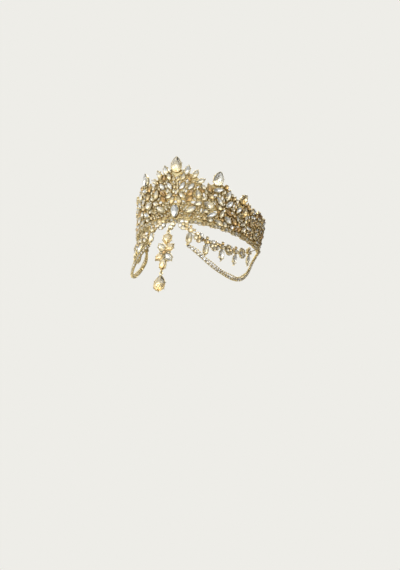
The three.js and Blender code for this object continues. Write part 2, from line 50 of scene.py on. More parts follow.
# Crown wall and its rim; an end post is given as degrees from the end and inset
RIM_HALF_WIDTH = 73.5
RIM_HALF_DEPTH = 84
SIDE_LEAN = 0.09
FRONT_LEAN = 0.34
END_ANGLE = 96
PLATE_THICKNESS = 1.6
RIM_BAR = {"low": -1.2, "high": 2.4, "inner": -0.5, "outer": 2.8}
RIM_ROUNDING = 0.5
RIM_STEP = 2
RIM_GRAIN = {"radius": 0.62, "pitch": 1.302, "from_edge": 0.1, "sink": 0.2, "from_end": 1}
END_POST = [(2, 0), (0.8, 0), (0.35, 0.3), (0.1, 0.75), (0, 1.3)]

# Mesh of the pierced wall, laid flat at some millimetres a degree
PLATE_SCALE = 1.45
PLATE_STEP = 1.0
PLATE_GRID = 3.0
PLATE_TOP = 60
PLATE_CLEAR = 1.0
PLATE_WELD = 1e-5
GAP_POINTS = 14
GAP_OUT = 1

# Wires, beads and the rings of the pendant
WIRE_RADIUS = 0.42
WIRE_SIDES = 6
WIRE_START = (0.31, 0.57, 0.76)
CREST_WIRE = {"radius": 0.672, "inset": 0.2}
CURVE_STEPS = 40
BEAD_SIDES = 6
BEAD_LEVELS = 4
BEAD_CAP = 0.35
RING_RADIUS = 1.7
RING_WIRE = 0.55
RING_PLAY = 0.3
RING_POINTS = 20
RING_SIDES = 8
SHARP_ANGLE = 35

# Large cut stones: scales of the outline, shares of the height and of the depth
GIRDLE_OUT = 4
GIRDLE_BAND = 0.12
PEAR_FULLEST = 0.858
TABLE_SCALE = 0.54
CROWN_SCALE = 0.82
CROWN_SHARE = 0.62
CROWN_BASE_HEIGHT = 0.9
CROWN_HEIGHT_PER_WIDTH = 0.08
PAVILION_SCALES = (0.6, 0.36)
PAVILION_SHARES = (0.48, 0.74)
PAVILION_PER_WIDTH = 0.2
STONE_POINTS = 16

# Small cut stones: depth, height and cup as shares of the width
SMALL_POINTS = 8
DEEP_CHIP = 0.17
FLAT_CHIP = 0.08
CHIP_HEIGHT = 0.28
CHIP_TABLE = 0.6
CHIP_CUP_DEPTH = 0.55
CHIP_LIP = 0.4
CHIP_CLAW = 0.3
# Swing of a small stone's tint from top to foot, painted light: cooler on top, warmer at the foot
CHIP_PAINTED_LIGHT_SWING = 0.12

# Settings of the large stones: cup, claw radius, deepest culet, and swing of the tint towards the ends,
# painted light that makes the top cooler and the foot warmer
CROWN_SETTING = {"depth": 3.3, "lip": 0.75, "claw": 0.48, "culet": 2.3, "swing": 0.24}
PENDANT_SETTING = {**CROWN_SETTING, "culet": 2.7}
DROP_SETTING = {"depth": 2, "lip": 0.6, "claw": 0.42, "culet": 2.3, "swing": 0.24}
PETAL_SETTING = {**DROP_SETTING, "claw": 0.4, "swing": 0.12}
OPEN_BACKS = ("crest_pear", "side_pear")

# Cup: room round the stone, then the scale of each ring with its height or its share of the depth
CUP_ROOM = 0.3
CUP_FOOT = {"inner": 0.62, "outer": 0.7}
CUP_EDGE = {"scale": 0.98, "z": -0.35}
CUP_RIM = {"scale": 0.95, "z": 0.02}
CUP_FLOOR = {"scale": 0.55, "share": 0.85}
CUP_DOME = {"scale": 0.34, "share": 1.12}

# Claws: steps out, up and in thickness, all in claw radii, and the turns round each outline
CLAW_PATH = [(1.3, -4.48, 0.9), (1.15, -0.64, 1), (0.75, 1.2, 1), (-0.4, 2.4, 0.9), (-1.1, 2.8, 0.5)]
CLAW_SIDES = 6
CLAW_PLACES = 72
CLAW_TURNS = {"pear": (80, 130, 180, 230, 280), "navette": (0, 60, 120, 180, 240, 300)}
CHIP_CLAW_TURNS = {"pear": (130, 230), "navette": (0, 180), "round": (45, 135, 225, 315)}

# Drape of the strings below the rim
FRONT_BULGE = 11
SIDE_BULGE = -6
BULGE_DEPTH = 24
GARLAND_OUT = 3
STRING_END = (-0.6, 1.2)

# Finishes: the two golds of the wall, the front and back of a stone, and its tint from icy to smoky brown
POLISHED, SATIN = 0, 1
GLASS, FOIL = 0, 1
ICE, CLEAR, CREAM, CHAMPAGNE, AMBER, BROWN = 0.0, 0.2, 0.38, 0.58, 0.8, 1.0

# Tints that the small stones are drawn from
FRONT_TINTS = (CREAM, CREAM, CREAM, CHAMPAGNE, CHAMPAGNE, AMBER, AMBER)
# Behind the temples the darker brown tints are partly the stones' smoky colour and partly painted shade of
# the far sides
GRAINED_SMOKE_AND_SHADE_TINTS = (ICE, CLEAR, CHAMPAGNE, AMBER, BROWN, BROWN, BROWN)
RIM_TINTS = (CLEAR, CREAM, CHAMPAGNE)
PETAL_TINTS = (CLEAR, CREAM, CREAM, CHAMPAGNE)
LINK_TINTS = (CREAM, CHAMPAGNE)
SPRIG_TINTS = (CHAMPAGNE, AMBER)
DROP_TINTS = (CLEAR, CREAM)
SWAG_TINTS = (ICE, CLEAR, CREAM)

# Colours: plating by its grain, with painted shade that darkens its recesses, foil and glass by the stone's
# tint
GOLD_STOPS = [(0.3, (0.76, 0.625, 0.31)), (0.7, (0.90, 0.81, 0.53))]
PAINTED_SHADE_STOPS = [(0.06, (0.08, 0.05, 0.025)), (0.26, (0.52, 0.37, 0.16)), (0.66, (1, 0.99, 0.97))]
FOIL_STOPS = [
    (ICE, (0.90, 0.92, 0.93)), (CLEAR, (0.95, 0.94, 0.89)), (CREAM, (0.93, 0.87, 0.70)),
    (CHAMPAGNE, (0.90, 0.77, 0.49)), (AMBER, (0.83, 0.60, 0.30)), (BROWN, (0.26, 0.17, 0.08)),
]
GLASS_STOPS = [
    (0.0, (0.97, 0.985, 1.0)), (0.3, (1.0, 1.0, 1.0)), (0.6, (1.0, 0.97, 0.89)), (1.0, (0.97, 0.84, 0.62)),
]

# Grain of the materials: noise, the span of its values, and roughness from one end to the other
PLATING_NOISE = {"Scale": 160.0, "Detail": 4.0}
POLISH_NOISE = {"Scale": 700.0, "Detail": 3.0}
FOIL_NOISE = {"Scale": 260.0}
GLASS_NOISE = {"Scale": 500.0}
WHOLE_SPAN = (0.0, 1.0)
NOISE_SPAN = (0.3, 0.7)
TINT_DRIFT = (-0.16, 0.16)
GOLD_GLOSS = (0.18, 0.34)
SATIN_GLOSS = (0.42, 0.56)
BRIGHT_GLOSS = (0.18, 0.36)
SOFT_GLOSS = (0.28, 0.46)
GLASS_GLOSS = (0.0, 0.05)
GLASS_IOR = 1.54
POLISH_BUMP = {"Strength": 0.06, "Distance": 0.0003}
# Reach and samples of the painted shade that darkens the gold in its recesses
PAINTED_SHADE_REACH = {"Distance": 0.003}
PAINTED_SHADE_SAMPLES = 6
MIX_FIRST, MIX_SECOND, MIX_RESULT = 6, 7, 2

# Stage, in metres: floor, room and lights, a light as name, place, size, power and colour
FLOOR = {
    "height": -0.5, "radius": 0.75, "points": 64, "fade": (0.5, 0.84),
    "colour": (0.82, 0.81, 0.79, 1), "roughness": 0.7,
}
ROOM_BEARING = (-0.55, -0.78, 0.3)
ROOM_STOPS = [
    (0.1, (0.24, 0.22, 0.19)), (0.3, (0.55, 0.52, 0.47)),
    (0.55, (0.88, 0.86, 0.82)), (0.9, (0.95, 0.95, 0.92)),
]
ROOM_NOISE = {"Scale": 4.0, "Detail": 2.0, "Roughness": 0.6}
DAPPLE_STOPS = [(0.38, (0.32, 0.30, 0.27)), (0.5, (0.8, 0.79, 0.77)), (0.64, (1, 1, 1))]
BACKDROP = (0.855, 0.847, 0.807, 1)
LIGHTS = [
    ("key", (-0.8, -0.85, 0.85), 1.5, 11, (1, 0.98, 0.94)),
    ("front", (0.1, -1.3, -0.15), 1.2, 1.5, (1, 1, 1)),
    ("fill", (0.6, -1.0, 0.75), 0.9, 9, (1, 0.98, 0.95)),
    ("back", (-0.3, 0.9, 0.7), 0.7, 6, (1, 1, 1)),
]

# Top edge of the wall: degrees from the front, mm over the rim
CREST = [
    (0, 57), (5, 55), (9, 52), (14, 51), (18, 48), (24, 38), (29, 43), (35, 49), (40, 46),
    (45, 43), (52, 36), (58, 42), (64, 37), (70, 37), (77, 38), (86, 39), (96, 34),
]

# Main stones on the middle line: node, shape, angle, height, turn, length, width, tint
MIDDLE_STONES = [
    ("crest_pear", "pear", 0, 60.5, 0, 18, 13, CREAM),
    ("centre_stone", "pear", 0, 9.5, 180, 15, 9.5, ICE),
]

# Main stones of the right half, mirrored on the left half
SIDE_STONES = [
    ("fan_inner", "navette", 9.5, 54.5, 12, 11, 6, CLEAR),
    ("fan_middle", "navette", 16, 51, 24, 11, 5.5, CREAM),
    ("fan_outer", "navette", 20.5, 44.5, 58, 11, 5, CREAM),
    ("side_pear", "pear", 34.5, 52, 4, 17, 12, CLEAR),
    ("under_pear", "navette", 35, 39.5, 68, 13, 5, ICE),
    ("shoulder", "navette", 27.8, 39, -27, 11, 4.5, AMBER),
    ("flower_top", "navette", 43.8, 37, 5, 13.5, 6.2, CLEAR),
    ("flower_front", "navette", 37.2, 27.7, -50, 13, 4.4, CLEAR),
    ("flower_back", "navette", 45.4, 27.8, 38, 12, 6, ICE),
    ("side_leaf", "navette", 54.6, 26.5, 25, 10, 5, ICE),
    ("side_drop", "pear", 60.6, 27.5, 10, 13, 7, CHAMPAGNE),
    ("crest_side", "pear", 58.4, 42, 29, 13, 9, CHAMPAGNE),
    ("cheek_pear", "pear", 28.2, 20.2, -70, 13, 9, CREAM),
    ("cheek_leaf", "navette", 31.3, 10.4, 60, 13, 5, ICE),
    ("rim_leaf", "navette", 38, 4, -72, 13, 4.8, CREAM),
    ("rim_petal", "navette", 45.6, 10.4, -61, 11.5, 6, CLEAR),
    ("fan_root", "navette", 19.2, 29.6, -20, 11, 6, CREAM),
    ("front_leaf", "navette", 13.5, 12, 57, 15, 6, CREAM),
]

# Smaller stones of the right half, mirrored: shape, angle, height, turn, length, width, tint
SMALL_STONES = [
    ("navette", 6, 26.8, -58, 10, 5, CREAM),
    ("navette", 5.6, 37.4, 34, 10, 5.2, CLEAR),
    ("round", 41.6, 46, 0, 5.4, 5.4, AMBER),
    ("round", 50.4, 4.6, 0, 5, 5, CLEAR),
    ("navette", 68.6, 34, 14, 9, 5, CHAMPAGNE),
    ("navette", 79.4, 25.6, 24, 10, 5, CHAMPAGNE),
    ("navette", 6.2, 47.5, 14, 9, 5, CREAM),
    ("navette", 13, 37.5, 40, 10, 5.2, CLEAR),
    ("navette", 49.6, 37, 24, 6.5, 4, CHAMPAGNE),
    ("navette", 55, 16.6, -30, 7.5, 4, CREAM),
    ("round", 25.4, 5.4, 0, 4.6, 4.6, CHAMPAGNE),
    ("navette", 61, 13.4, 52, 9, 4.6, CREAM),
    ("navette", 70.4, 21, -30, 10, 5, CHAMPAGNE),
    ("round", 76, 33, 0, 5.4, 5.4, AMBER),
    ("navette", 77, 8.6, -58, 9, 4.6, CHAMPAGNE),
    ("navette", 85.4, 34, 6, 9, 5, CHAMPAGNE),
    ("navette", 90.4, 17.6, -20, 9, 5, AMBER),
]

# Openings through the wall: angle, height, turn, length, width
MIDDLE_GAPS = [(0, 31.4, 0, 6, 3.2), (0, 20.8, 0, 4, 5), (0, 47, 0, 4, 3)]
SIDE_GAPS = [
    (2.8, 42.2, 16, 5, 2.6), (9.4, 43.4, 8, 6, 3.4), (8.8, 32.4, 20, 6, 3), (18.6, 38.4, 40, 5, 2.8),
    (7, 21, -50, 5, 3), (15.6, 21.4, 80, 7, 4), (9.6, 16, 55, 5, 2), (22.6, 14, 10, 6, 2.6),
    (20.4, 6.6, 60, 5, 2.4), (24, 31, -20, 6, 3.4), (34, 15.4, 62, 8, 2.8), (42.4, 20.4, 30, 5, 2.8),
    (33.2, 33.6, 60, 6, 4), (39.4, 33, 10, 6, 3.4), (33.6, 24.4, -40, 5, 2.6), (49.4, 20.6, 30, 6, 2.8),
    (50.6, 30, 28, 6, 2.8), (53.6, 34, 60, 4.4, 2.6), (57.4, 9, 50, 5, 2.4), (64.8, 19, 20, 7, 3.4),
    (66, 28.4, 10, 6, 3), (65.6, 7.4, 60, 6, 3), (75, 18, 30, 6, 3), (82, 31, 60, 6, 2.8),
    (83.4, 16.6, 20, 7, 3.4), (91, 30, -20, 6, 3),
]

# Small stones that fill the wall, from the largest down, and the hearts that the navettes point away from
FILL_NAVETTES = [(10, 5.4), (8, 4.4), (6.5, 3.6), (5.4, 2.9)]
FILL_ROUNDS = [4.0, 3.2]
FILL_FINE = [2.6, 2.1]
FILL_GRAINS = [0.85, 0.6]
FILL_HEARTS = [(0, 9), (41, 23), (66, 14), (84, 24)]
FILL_SWINGS = (0, 38, -38, 76)
FINE_ZONE = {"angle": 26, "height": 19}
GRAINED_FROM = 64

# Places that are tried for the filling, and the room that it keeps
FILL_STEP = 0.95
FILL_STRETCH = 1.4
FILL_FROM = 1.2
FILL_TO = END_ANGLE - 2.5
FILL_LOW = 4.6
FILL_TOP = 58
FILL_EDGE = 1.2
FILL_MARGIN = 0.05
FILL_TIGHT = 0.42
MAIN_ROOM = 1.4
SMALL_ROOM = 0.8
GAP_OVERHANG = 1.5
DISC_POINTS = 24

# How the filling sits: its height for keeping clear, then out of the wall by its width and by chance
FILL_LIFT = PLATE_THICKNESS + 1.2
CHIP_OUT = 0.34
CHIP_RISE = (-0.2, 0.5)
GRAIN_OUT = 0.6

# Row of stones along the top edge of the wall
CREST_NAVETTE = (7.6, 4)
CREST_ROUNDS = [4, 3.2]
CREST_SINK = 0.6
CREST_EDGE = -9
CREST_FROM = 1.5
CREST_STEP = 0.4

# Dome behind a setting: scale of the stone's outline and height over the inner face
BACK_DOME = [(0.8, -0.3), (0.78, 0.25), (0.66, 0.6), (0.4, 0.8)]
BACK_LEAST = 4

# Row of small stones on the rim bar, in turn: size, height and out
RIM_STONES = [(5, -0.9, 3.3), (4, -0.1, 3.2), (4.6, -1.5, 3.3)]
RIM_STONE_RUN = (2 - END_ANGLE, END_ANGLE - 1)
RIM_STONE_LEAN = 12
RIM_STONE_PITCH = 4.7
RIM_STONE_OUT = 3

# Garland units of the right half: kind, angle, height
GARLAND_UNITS = [
    ("flower", 10.8, -7), ("link", 19, -14.2), ("flower", 28, -20.8), ("link", 35.4, -23.4),
    ("flower", 42.6, -25), ("link", 50, -22.8), ("flower", 57, -22.4), ("link", 64, -20),
    ("flower", 72, -16.8), ("link", 79.6, -10.4),
]
GARLAND_END = (87, -2.4)
GARLAND_THREAD = {"radius": 0.55, "back": 1.2}
GARLAND_PETAL = {"count": 5, "size": (5.8, 5.3), "ring": 3.7, "tilt": 14, "raise": 0.1}
GARLAND_BUD = {"size": 4, "raise": 1.5}
GARLAND_LINK_SIZE = 5.8
GARLAND_DROP = {"size": (14.2, 6.8), "hang": 9.6}
GARLAND_SPRIG = {"size": 3, "ring": 4.6, "turns": (-78, 0, 78)}

# Uneven hang of the small stones: most degrees that one leans either way
FILL_LEAN = 9
DROP_LEAN = 9
SWAG_LEAN = 14

# Swag chain of the right half: the points that it hangs through
SWAG_POINTS = [
    (19, -32.8), (27, -38.6), (35, -44.6), (44, -50.2), (54, -53), (62, -53.6), (69, -51.8), (76, -47),
    (82, -39), (87, -29), (90.6, -19), (93, -9.6), (94.4, -2),
]
SWAG_STONE = {"pitch": 4.5, "size": 3.6, "lip": 0.2}
SWAG_WIRE = {"radius": 0.8, "back": 1.8}
SWAG_RING = {"height": -32.0, "radius": 1.3, "wire": 0.36}

# Bead string over the swag chain: it parts from the chain at its ends by a slope and sways a little
SWAG_BEAD = {"pitch": 3.3, "radius": 1.0, "offset": 3.2, "slope": 12, "sway": 0.5, "sways": 5, "out": 0.3}
SWAG_THREAD = {"radius": 0.25, "sides": 4}

# Forehead pendant
PENDANT_Y = -98
LUG_Y = -RIM_HALF_DEPTH - RIM_BAR["outer"]
LUG_Z = RIM_BAR["low"] - RING_RADIUS
TOP_RING_Z = LUG_Z - 2 * RING_RADIUS + 2 * RING_WIRE + RING_PLAY
LINK_STONES = [(-90.2, -6.4), (-94.4, -12)]
LINK_STONE_SIZE = 5.8
LINK_STONE_LEAN = 26
LINK_WIRE_BACK = 1.8
PENDANT_PIVOT_Z = -18
DROP_PIVOT_Z = -67.9
PENDANT_FLOWER_Z = -44.4
PENDANT_STONES = [
    ("pendant_pear", "pear", -28.4, 180, 13, 10.5, CHAMPAGNE),
    ("pendant_navette", "navette", -58.4, 0, 15.4, 7.8, CHAMPAGNE),
]
DROP_STONE = ("drop_pear", "pear", -80.7, 0, 18, 13, (CREAM + CHAMPAGNE) / 2)
PENDANT_PETALS = [(41, CHAMPAGNE), (-41, CREAM), (135, CLEAR), (-135, CHAMPAGNE)]
PENDANT_PETAL = {"size": (11.8, 7.8), "ring": 7.6}
PENDANT_BUDS = [91, -91]
PENDANT_BUD = {"size": 3.8, "ring": 4.8}
PENDANT_EYE = {"size": 4.8, "raise": 1.2}
SPINE = {"radius": 1.1, "y": -95.8}

# Camera: azimuth and elevation of its seat, roll, distance, and where its axis meets the picture
CAMERA = {"azimuth": 22.21, "elevation": -20.77, "roll": 8.934, "distance": 900}
PICTURE = {"width": 400, "height": 570, "centre_x": 199.01, "centre_y": 249.15, "pixels_per_mm": 0.8}
SENSOR = 36

draw = random.Random(SEED)


def wall(angle, height, out):
    """Point of the wall: angle from the front, height over the rim and distance out of its back face."""
    half_width = RIM_HALF_WIDTH + SIDE_LEAN * height + out
    half_depth = RIM_HALF_DEPTH + FRONT_LEAN * height + out
    return np.array((half_width * math.sin(angle * RAD), -half_depth * math.cos(angle * RAD), height))


def drape(angle, height, out):
    """Point that a string below the rim hangs through."""
    share = min(max(-height / BULGE_DEPTH, 0), 1)
    bulge = share * (2 - share)
    half_width = RIM_HALF_WIDTH + SIDE_BULGE * bulge + out
    half_depth = RIM_HALF_DEPTH + FRONT_BULGE * bulge + out
    return np.array((half_width * math.sin(angle * RAD), -half_depth * math.cos(angle * RAD), height))


def unit(vector):
    return vector / np.linalg.norm(vector)


def facing(origin, east, north, turn):
    """Seat whose Z faces outward and whose Y is the tip's direction."""
    normal = unit(np.cross(east, north))
    upright = np.cross(normal, east)
    c, s = math.cos(turn * RAD), math.sin(turn * RAD)
    seat = np.eye(4)
    seat[:3, 0] = c * east - s * upright
    seat[:3, 1] = s * east + c * upright
    seat[:3, 2] = normal
    seat[:3, 3] = origin
    return seat


def on_wall(angle, height, out, turn):
    east = unit(wall(angle + 0.5, height, out) - wall(angle - 0.5, height, out))
    north = unit(wall(angle, height + 0.5, out) - wall(angle, height - 0.5, out))
    return facing(wall(angle, height, out), east, north, turn)


def per_degree(angle, height, out):
    """Width of one degree of the wall."""
    return np.linalg.norm(wall(angle + 0.5, height, out) - wall(angle - 0.5, height, out))


def on_drape(angle, height):
    east = unit(drape(angle + 0.5, height, GARLAND_OUT) - drape(angle - 0.5, height, GARLAND_OUT))
    return facing(drape(angle, height, GARLAND_OUT), east, Z_AXIS, 0)


def on_pendant(z, turn):
    return facing(np.array((0, PENDANT_Y, z)), X_AXIS, Z_AXIS, turn)


def shifted(seat, x, y, z):
    """Seat moved along its own axes."""
    moved = seat.copy()
    moved[:3, 3] += seat[:3, :3] @ np.array((x, y, z))
    return moved


def turned(seat, turn):
    """Seat turned in its own plane, its Y towards its X."""
    c, s = math.cos(turn * RAD), math.sin(turn * RAD)
    spun = seat.copy()
    spun[:3, :3] = seat[:3, :3] @ np.array(((c, s, 0), (-s, c, 0), (0, 0, 1)))
    return spun


def tilted(seat, lean, about):
    """Seat leaned by some degrees about an axis of its own plane."""
    axis = Vector(seat[:3, 0] * math.cos(about * RAD) + seat[:3, 1] * math.sin(about * RAD))
    tipped = seat.copy()
    tipped[:3, :3] = np.array(Matrix.Rotation(lean * RAD, 3, axis)) @ seat[:3, :3]
    return tipped


def leaned(seat, most):
    """Seat leaned at random, by at most some degrees."""
    return tilted(seat, draw.uniform(-most, most), draw.uniform(0, 180))


def around(seat, ring, turn, raised=0):
    """Seat moved out to a ring round its centre, at a turn from its Y towards its X."""
    return shifted(seat, ring * math.sin(turn * RAD), ring * math.cos(turn * RAD), raised)


def outward(point):
    """Level direction away from the middle of the crown."""
    return unit(np.array((point[0], point[1], 0)))


def circle(count, first, second, start=0):
    """Points of a unit circle, from one axis towards another."""
    turn = np.arange(count) * 2 * math.pi / count + start
    return np.outer(np.cos(turn), first) + np.outer(np.sin(turn), second)


def outline(shape, length, width, count, shift=0.0):
    """Outline of a stone with its tip towards Y, anticlockwise from the tip."""
    turn = (np.arange(count) + shift) * 2 * math.pi / count
    y = length / 2 * np.cos(turn)
    x = -width / 2 * np.sin(turn)
    if shape == "pear":
        x = x * np.sqrt(np.abs(np.sin(turn / 2))) / PEAR_FULLEST
    if shape == "navette":
        arc = (length * length + width * width) / (4 * width)
        x = np.sign(np.round(x, 9)) * (np.sqrt(arc * arc - y * y) - arc + width / 2)
    return np.stack((x, y), 1)


def level(points, scale, z):
    return np.column_stack((points * scale, np.full(len(points), z)))


def show(name, data):
    """New object of the scene."""
    thing = bpy.data.objects.new(name, data)
    bpy.context.scene.collection.objects.link(thing)
    return thing


class Pile:
    """Faces gathered for one piece, in millimetres, each with a finish and a tint."""

    def __init__(self):
        self.points = []
        self.faces = []
        self.finishes = []
        self.tints = []
        self.count = 0

    def add(self, points, faces, seat=None, finishes=None, tint=CLEAR):
        points = np.asarray(points, float)
        if seat is not None:
            points = points @ seat[:3, :3].T + seat[:3, 3]
        self.points.append(points)
        start = self.count
        self.faces.extend(tuple(start + i for i in face) for face in faces)
        self.finishes.extend(finishes or [POLISHED] * len(faces))
        self.tints.extend(np.broadcast_to(tint, len(faces)).tolist())
        self.count += len(points)

    def piece(self, name, body, slot, materials):
        """The piece as an object that rides on a body; gold is smooth, stones are faceted."""
        mesh = bpy.data.meshes.new(name)
        mesh.from_pydata(np.concatenate(self.points) * MM, [], self.faces)
        for material in materials:
            mesh.materials.append(material)
        mesh.polygons.foreach_set("material_index", self.finishes)
        # Tint of each face: the stone's colour, with painted light from top to foot
        mesh.attributes.new("tint", "FLOAT", "FACE").data.foreach_set("value", self.tints)
        if slot == "gold":
            mesh.shade_smooth()
            mesh.set_sharp_from_angle(angle=SHARP_ANGLE * RAD)
        mesh.update()
        thing = show(name, mesh)
        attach(thing, body)
        return thing


def loft(rings, closed=False):
    """Skin over rings of equal counts, capped at both ends unless the run closes on itself."""
    count = len(rings[0])
    points = np.concatenate(rings)
    faces = []
    runs = len(rings) if closed else len(rings) - 1
    for r in range(runs):
        low, high = r * count, (r + 1) % len(rings) * count
        for i in range(count):
            j = (i + 1) % count
            faces.append((low + i, low + j, high + j, high + i))
    if not closed:
        last = (len(rings) - 1) * count
        faces.append(tuple(range(count))[::-1])
        faces.append(tuple(range(last, last + count)))
    return points, faces


def tube(path, radius, sides, closed=False):
    """Round wire along a path; radius is one number or one for each point."""
    path = np.asarray(path, float)
    count = len(path)
    radii = np.broadcast_to(radius, count)
    ahead = np.roll(path, -1, 0) - path
    behind = path - np.roll(path, 1, 0)
    if not closed:
        ahead[-1], behind[0] = behind[-1], ahead[0]
    along = ahead + behind
    along /= np.linalg.norm(along, axis=1, keepdims=True)
    side = np.cross(along[0], WIRE_START)
    rings = []
    for i in range(count):
        side = unit(side - along[i] * (side @ along[i]))
        rings.append(path[i] + radii[i] * circle(sides, side, np.cross(along[i], side)))
    return loft(rings, closed)


def ball(pile, centre, radius):
    """Small bead."""
    rings = []
    for i in range(BEAD_LEVELS + 1):
        bow = math.pi * (i + BEAD_CAP) / (BEAD_LEVELS + 2 * BEAD_CAP)
        ring = radius * math.sin(bow) * circle(BEAD_SIDES, X_AXIS, Y_AXIS, i * math.pi / BEAD_SIDES)
        rings.append(ring - radius * math.cos(bow) * Z_AXIS + centre)
    pile.add(*loft(rings))


def link_ring(pile, centre, across, radius=RING_RADIUS, wire=RING_WIRE):
    """Ring whose hole looks along X, or along Y when it is turned across."""
    path = radius * circle(RING_POINTS, X_AXIS if across else Y_AXIS, Z_AXIS) + centre
    pile.add(*tube(path, wire, RING_SIDES, closed=True))


def smooth_path(points, pitch):
    """Points a pitch apart along a smooth curve through the given ones."""
    points = np.asarray(points)
    padded = np.concatenate((2 * points[:1] - points[1:2], points, 2 * points[-1:] - points[-2:-1]))
    fine = []
    for i in range(1, len(padded) - 2):
        p0, p1, p2, p3 = padded[i - 1:i + 3]
        bend = 2 * p0 - 5 * p1 + 4 * p2 - p3
        twist = 3 * p1 - p0 - 3 * p2 + p3
        for t in np.linspace(0, 1, CURVE_STEPS, endpoint=False):
            fine.append(0.5 * (2 * p1 + (p2 - p0) * t + bend * t * t + twist * t ** 3))
    fine = np.array(fine + [points[-1]])
    reach = np.concatenate(([0], np.cumsum(np.linalg.norm(np.diff(fine, axis=0), axis=1))))
    count = round(reach[-1] / pitch)
    stops = np.linspace(0, reach[-1], count + 1)
    return np.column_stack([np.interp(stops, reach, fine[:, k]) for k in range(3)])


def tint_with_painted_light(points, faces, seat, tint, swing):
    """Tint of each face of a stone with painted light: cooler towards its top, as if lit white from above,
    and warmer towards its foot, as if lit warm from below.
    """
    rise = points @ seat[2, :3]
    half = np.abs(rise).max()
    return [tint - swing * float(rise[list(face)].mean()) / half for face in faces]


def cut_stone(shape, length, width, deepest):
    """Cut stone with its girdle at Z 0 and its table facing Z: points, faces and a finish for each face."""
    count = STONE_POINTS
    height = CROWN_BASE_HEIGHT + CROWN_HEIGHT_PER_WIDTH * width
    depth = min(deepest, PAVILION_PER_WIDTH * width)
    girdle = outline(shape, length, width, count)
    between = outline(shape, length, width, count, 0.5)
    star = level(between, PAVILION_SCALES[0], -depth * PAVILION_SHARES[0])
    star[1::2] = level(between[1::2], PAVILION_SCALES[1], -depth * PAVILION_SHARES[1])
    rings = [
        star,
        level(girdle, 1, -GIRDLE_BAND),
        level(girdle, 1, GIRDLE_BAND),
        level(between, CROWN_SCALE, height * CROWN_SHARE),
        level(girdle, TABLE_SCALE, height),
    ]
    points = np.concatenate(rings + [np.array([(0, 0, -depth)])])
    culet = len(points) - 1
    pavilion, low, high, crown, table = (i * count for i in range(5))
    back, front = [], []
    for i in range(count):
        j = (i + 1) % count
        back.append((culet, pavilion + j, pavilion + i))
        back.append((pavilion + i, low + j, low + i))
        back.append((pavilion + i, pavilion + j, low + j))
        front.append((low + i, low + j, high + j, high + i))
        front.append((high + i, high + j, crown + i))
        front.append((high + j, crown + j, crown + i))
        front.append((crown + i, table + j, table + i))
        front.append((crown + i, crown + j, table + j))
    front.append(tuple(range(table, table + count)))
    return points, back + front, [FOIL] * len(back) + [GLASS] * len(front)


def chip(shape, length, width, depth):
    """Small cut stone: table, one row of crown facets and a pavilion of some depth for its width."""
    count = SMALL_POINTS
    girdle = level(outline(shape, length, width, count), 1, 0)
    table = level(outline(shape, length, width, count, 0.5), CHIP_TABLE, CHIP_HEIGHT * width)
    points = np.concatenate((girdle, table, [(0, 0, -depth * width)]))
    back = [(2 * count, (i + 1) % count, i) for i in range(count)]
    front = []
    for i in range(count):
        j = (i + 1) % count
        front.append((i, j, count + i))
        front.append((j, count + j, count + i))
    front.append(tuple(range(count, 2 * count)))
    return points, back + front, [FOIL] * len(back) + [GLASS] * len(front)


def cup(pile, seat, shape, length, width, depth, lip, count, open_back=False):
    """Tapered cup with a lip round the girdle and room for the stone inside."""
    edge = outline(shape, length + 2 * lip, width + 2 * lip, count)
    inner = outline(shape, length + CUP_ROOM, width + CUP_ROOM, count)
    rings = [] if open_back else [level(inner, CUP_DOME["scale"], -CUP_DOME["share"] * depth)]
    rings += [
        level(inner, CUP_FOOT["inner"], -depth),
        level(edge, CUP_FOOT["outer"], -depth),
        level(edge, CUP_EDGE["scale"], CUP_EDGE["z"]),
        level(edge, CUP_RIM["scale"], CUP_RIM["z"]),
        level(inner, 1, CUP_RIM["z"]),
        level(inner, CUP_FLOOR["scale"], -CUP_FLOOR["share"] * depth),
    ]
    points, faces = loft(rings, closed=open_back)
    pile.add(points, faces, seat)


def claws(pile, seat, shape, length, width, turns, radius):
    """Claws that rise outside the girdle and bend over the crown, at some turns round the outline."""
    rim = outline(shape, length, width, CLAW_PLACES)
    thickness = [radius * share for _, _, share in CLAW_PATH]
    for turn in turns:
        i = round(turn / 360 * CLAW_PLACES) % CLAW_PLACES
        foot = rim[i]
        along = rim[(i + 1) % CLAW_PLACES] - rim[i - 1]
        out = unit(np.array((-along[1], along[0])))
        if out @ foot < 0:
            out = -out
        path = [(*(foot + out * (reach * radius)), rise * radius) for reach, rise, _ in CLAW_PATH]
        points, faces = tube(path, thickness, CLAW_SIDES)
        pile.add(points, faces, seat)


def set_stone(metal, gems, seat, shape, length, width, tint, setting, open_back=False):
    """Large stone in a cup with claws."""
    cup(metal, seat, shape, length, width, setting["depth"], setting["lip"], STONE_POINTS, open_back)
    claws(metal, seat, shape, length, width, CLAW_TURNS[shape], setting["claw"])
    points, faces, finishes = cut_stone(shape, length, width, setting["culet"])
    # Painted light: each face's tint is cooler towards the top and warmer towards the foot
    gems.add(points, faces, seat, finishes, tint_with_painted_light(points, faces, seat, tint, setting["swing"]))


def set_chip(metal, gems, seat, shape, length, width, tint, depth=DEEP_CHIP, lip=CHIP_LIP):
    """Small stone in a cup with claws."""
    cup(metal, seat, shape, length, width, CHIP_CUP_DEPTH * width, lip, SMALL_POINTS)
    claws(metal, seat, shape, length, width, CHIP_CLAW_TURNS[shape], CHIP_CLAW)
    points, faces, finishes = chip(shape, length, width, depth)
    # Painted light: each face's tint is cooler towards the top and warmer towards the foot
    gems.add(points, faces, seat, finishes, tint_with_painted_light(points, faces, seat, tint, CHIP_PAINTED_LIGHT_SWING))


def set_round(metal, gems, seat, size, tint, *cut):
    """Small round stone in a cup with claws; its cut is a depth and a lip, if not the usual ones."""
    set_chip(metal, gems, seat, "round", size, size, tint, *cut)


